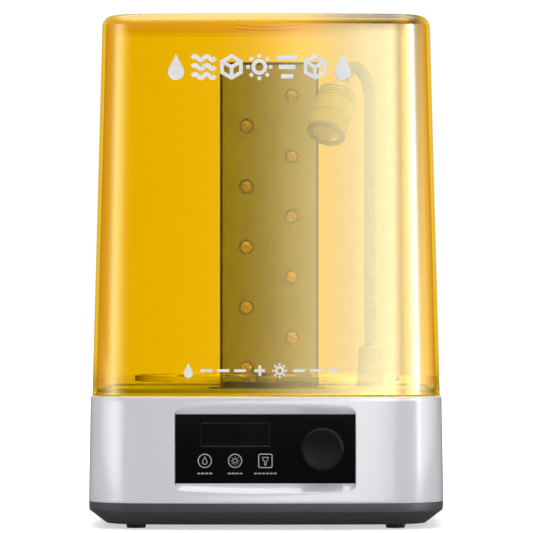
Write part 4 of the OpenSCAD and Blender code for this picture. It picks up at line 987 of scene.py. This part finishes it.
def build_lamp_foot():
    """The cone on the deck, and the plug with its moulded grip ribs."""
    low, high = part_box("lamp_socket")
    height, radius = high.z - low.z, (high.x - low.x) / 2
    cone = [(0, 0), (radius - 0.3 * MM, 0), (radius, 0.3 * MM), (radius - 0.05 * MM, 1.2 * MM),
            (8.4 * MM, height - 0.6 * MM), (8.05 * MM, height), (3.5 * MM, height), (3.5 * MM, 3 * MM),
            (0, 3 * MM)]
    socket = place(lathe("neck_socket", cone, 72, 28), Matrix.Translation((LAMP.x, LAMP.y, low.z)))
    finish_piece(socket, "base", "socket", "column_grey", "lamp_socket")
    low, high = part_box("lamp_plug")
    foot, top = JOINTS["lamp_swivel"]["pos_m"][2] + 0.05 * MM, high.z
    ribs, segments = 22, 176
    turn = np.arange(segments) * 2 * math.pi / segments
    grip = np.clip(np.cos(turn * ribs) * 1.6, -1, 1)
    rings = []
    steps = [(3.45, 0, low.z), (3.45, 0, foot), (7.8, 0, foot), (8.15, 0, foot + 0.35 * MM),
             (8.15, 0, foot + 1.3 * MM), (8.15, 0.42, foot + 1.9 * MM), (8.0, 0.42, top - 1.6 * MM),
             (7.8, 0.3, top - 0.9 * MM), (7.2, 0.0, top - 0.25 * MM), (6.6, 0.0, top)]
    for radius, depth, z in steps:
        r = (radius - depth * (1 - grip) / 2) * MM
        rings.append(upright_ring(LAMP.x, LAMP.y, r, turn, z))
    plug = skin("neck_plug", rings, angle=40)
    finish_piece(plug, "lamp_foot", "plug", "column_black", "lamp_plug")


# ---------------------------------------------------------------- carried-over CAD pieces
CAD_NODES = {
    "nickel": "cover_magnet rotor_magnets carrier_magnets",
    "rubber": "feet",
    "circuit": "cover_sensor control_board main_board",
    "panel": "front_panel",
    "window": "display_window",
    "display": "display_module",
    "segment": "display_segments",
    "print": "icon_light_guides",
    "steel": "encoder_body motor_can motor_bracket case_screws machine_screws board_screws",
    "acetal": "encoder_plunger magnet_rotor magnet_carrier planet_gear_1 planet_gear_2 planet_gear_3",
    "ground": "encoder_shaft motor_shaft centre_pin bearing_outer_race bearing_inner_race",
    "drive": "drive_base planet_plate turntable_hub hub_cap",
    "disc": "turntable_disc",
    "column": "column_channel",
    "column_face": "column_front",
    "white_board": "led_board",
    "aluminium": "column_heat_sink",
    "module": "board_components dc_jack",
    "rocker": "power_switch switch_rocker",
    "cable": "wiring",
}
# Widths of the softer edges, in millimetres
EDGE_WIDTHS = {"front_panel": 0.25, "column_channel": 0.4, "column_front": 0.2, "turntable_disc": 0.3,
               "power_switch": 0.4, "feet": 0.4, "drive_base": 0.3, "turntable_hub": 0.2, "hub_cap": 0.2}


def dress_cad():
    """Gives the CAD nodes that are shown as they are their materials, and some of them softer edges."""
    for look, nodes in CAD_NODES.items():
        for node in nodes.split():
            dress(NODES[node], look)
    for node, width in EDGE_WIDTHS.items():
        bevel(NODES[node], width * MM)


# ---------------------------------------------------------------- stage, light and camera
def build_floor():
    """A pale floor. It glows a little where the camera sees it directly, and nothing mirrors it."""
    s = Shader("studio_floor")
    tone = s.mix(s.noise(0.6, 2.0), (0.70, 0.70, 0.70, 1), (0.73, 0.73, 0.73, 1))
    rays = s.add("LightPath").outputs
    unobstructed = s.math("LESS_THAN", rays["Transparent Depth"], 0.5)
    watched = s.math("MULTIPLY", s.math("MULTIPLY", rays["Is Camera Ray"], unobstructed), 0.55)
    body = s.add("BsdfPrincipled", {"Base Color": tone, "Roughness": 0.6, "Emission Color": (1, 1, 1, 1),
                                    "Emission Strength": watched})
    floor = mesh_piece("floor", [(-6, -6, 0), (6, -6, 0), (6, 6, 0), (-6, 6, 0)], [(0, 1, 2, 3)])
    floor.data.materials.append(s.surface(body.outputs[0]))
    floor.visible_glossy = False


# What the surfaces mirror near the horizon: brightness by bearing in degrees, 0 straight in front of the
# object and 90 on its right. LOW_CARDS serves rays close to level, and HIGH_CARDS those above. These levels
# and those of BACK_GLOW were set until the main view's brightness came close to the photograph's.
HIGH_CARDS = [
    (-180, 1.1), (-160, 0.4), (-130, 0.25), (-108, 0.3), (-94, 1.0), (-84, 3.6), (-76, 5.4), (-66, 3.6),
    (-52, 1.1), (-40, 0.15), (-9, 0.02), (-4, 0.3), (-1, 1.2), (1, 2.6), (3, 4.1), (6, 6.4), (9, 10),
    (13, 13.4), (20, 12), (34, 6.6), (44, 8), (56, 12), (64, 20), (71, 28), (79, 12), (88, 5), (100, 3),
    (112, 1.4), (130, 0.4), (160, 0.4), (180, 1.1)]
LOW_CARDS = [
    (-180, 1.1), (-165, 0.4), (-108, 0.6), (-94, 3), (-84, 5), (-74, 7.2), (-62, 8), (-53, 5.5), (-46, 2.5),
    (-40, 0.5), (-30, 0.05), (-12, 0.1), (-8.5, 1.2), (-5.5, 3.6), (-3, 4.8), (0, 6.2), (4, 7), (9, 6.6),
    (12, 5), (17, 1.2), (24, 0.1), (46, 0.1), (58, 1.5), (66, 6), (72, 11), (78, 7), (84, 6.5), (92, 5),
    (102, 2.8), (130, 0.3), (165, 0.4), (180, 1.1)]
CARD_PEAK = 28
# What is seen through the clear parts, from left to right
BACK_GLOW = [
    (0.0, 0.95), (0.15, 0.97), (0.32, 1.02), (0.54, 0.98), (0.6, 0.72), (0.63, 0.54), (0.66, 0.40),
    (0.71, 0.30), (0.755, 0.14), (0.785, 0.32), (0.805, 0.5), (0.825, 0.2), (0.85, 0.9), (0.88, 1.05),
    (1.0, 1.0)]
BACK_LEFT, BACK_RIGHT = -0.06, 0.04
BACKGROUND = 1.05
FILL_LIGHT = 0.62
# Levels of the mirrored room below, above and far above the cards
UNDER_LEVEL, UPPER_LEVEL, CEILING_LEVEL = 0.12, 0.8, 7
# Heights of a ray's direction between which one part of the mirrored room fades into the next
LOW_FADE, HIGH_FADE = (-0.019, -0.014), (0.019, 0.024)
UPPER_FADE, CEILING_FADE = (0.14, 0.2), (0.62, 0.8)
WHITE = (1, 1, 1, 1)


def mirrored_room(nodes, direction):
    """What the surfaces mirror, from the floor up: dark, two rounds of cards, grey, a bright ceiling."""
    bearing = nodes.math("ARCTAN2", direction["X"], nodes.math("MULTIPLY", direction["Y"], -1.0))
    turn = nodes.math("ADD", nodes.math("DIVIDE", bearing, 2 * math.pi), 0.5)

    def cards(levels):
        stops = [((degrees + 180) / 360, level) for degrees, level in levels]
        return nodes.background(nodes.curve(turn, stops, CARD_PEAK), CARD_PEAK)

    room = nodes.background(WHITE, UNDER_LEVEL)
    bands = [(LOW_FADE, cards(LOW_CARDS)), (HIGH_FADE, cards(HIGH_CARDS)),
             (UPPER_FADE, nodes.background(WHITE, UPPER_LEVEL)),
             (CEILING_FADE, nodes.background(WHITE, CEILING_LEVEL))]
    for (start, end), band in bands:
        room = nodes.mix_shader(nodes.fade(direction["Z"], start, end), room, band)
    return room


def build_world():
    """Three surroundings in one. The camera sees white, or through clear parts a glow that changes from left
    to right. Diffuse light is even. The surfaces mirror a room of light cards that is fitted to the
    photograph, so this is not a plain studio."""
    world = bpy.data.worlds.new("studio")
    world.use_nodes = True
    world.cycles.sampling_method = "NONE"
    bpy.context.scene.world = world
    nodes = Nodes(world.node_tree)
    rays = nodes.add("LightPath").outputs
    generated = nodes.add("TexCoord").outputs["Generated"]
    direction = nodes.add("SeparateXYZ", {"Vector": generated}).outputs
    across = nodes.fade(direction["X"], BACK_LEFT, BACK_RIGHT)
    behind = nodes.background(nodes.curve(across, BACK_GLOW, BACKGROUND), BACKGROUND)
    beside = nodes.background(WHITE, BACKGROUND)
    through = nodes.math("GREATER_THAN", rays["Transparent Depth"], 0.5)
    seen = nodes.mix_shader(through, beside, behind)
    fill = nodes.background((0.97, 0.98, 1.0, 1), FILL_LIGHT)
    lit = nodes.mix_shader(rays["Is Glossy Ray"], fill, mirrored_room(nodes, direction))
    nodes.add("OutputWorld", {"Surface": nodes.mix_shader(rays["Is Camera Ray"], lit, seen)})


def area_light(name, spot, target, width, height, power):
    """A soft rectangular light. Nothing mirrors it, because the mirrored room is a part of the world."""
    light = bpy.data.lights.new(name, "AREA")
    light.shape = "RECTANGLE"
    light.size = width
    light.size_y = height
    light.energy = power
    lamp = bpy.data.objects.new(name, light)
    bpy.context.scene.collection.objects.link(lamp)
    lamp.location = spot
    aim = Vector(target) - Vector(spot)
    lamp.rotation_euler = aim.to_track_quat("-Z", "Y").to_euler()
    lamp.visible_camera = False
    lamp.visible_glossy = False


def build_lights():
    """A weak light from the front and a stronger one from above. Most light comes from the world."""
    area_light("key", (0.1, -0.9, 0.45), (0, 0, 0.15), 0.4, 0.5, 0.25)
    area_light("top", (0, -0.3, 1.6), (0, 0, 0), 1.2, 1.2, 5)


# The camera's shifts are shares of the picture's width
EYE = Vector((39 * MM, MID_Y - 2.7, 144.4 * MM))
SENSOR_MM, LENS_MM = 36, 266.85929
SHIFT_X, SHIFT_Y = -0.109005629, 0.081613508


def build_camera():
    """The eye is low, a little to the right and far away, and the picture is shifted off the lens's axis."""
    data = bpy.data.cameras.new("camera")
    data.sensor_width, data.lens = SENSOR_MM, LENS_MM
    data.shift_x, data.shift_y = SHIFT_X, SHIFT_Y
    data.clip_end = 100
    camera = bpy.data.objects.new("camera", data)
    bpy.context.scene.collection.objects.link(camera)
    camera.location = EYE
    camera.rotation_euler = (math.radians(90), 0, 0)
    bpy.context.scene.camera = camera
    bpy.context.scene.view_settings.view_transform = "Standard"
    bpy.context.scene.cycles.transparent_max_bounces = 24
    bpy.context.scene.cycles.max_bounces = 10


dress_cad()
build_cover()
build_cover_prints()
build_panel_icons()
build_knob()
build_leds()
build_neck()
build_lamp_head()
build_lamp_foot()
build_casing()
build_tray()
build_deck()
build_floor()
build_world()
build_lights()
build_camera()
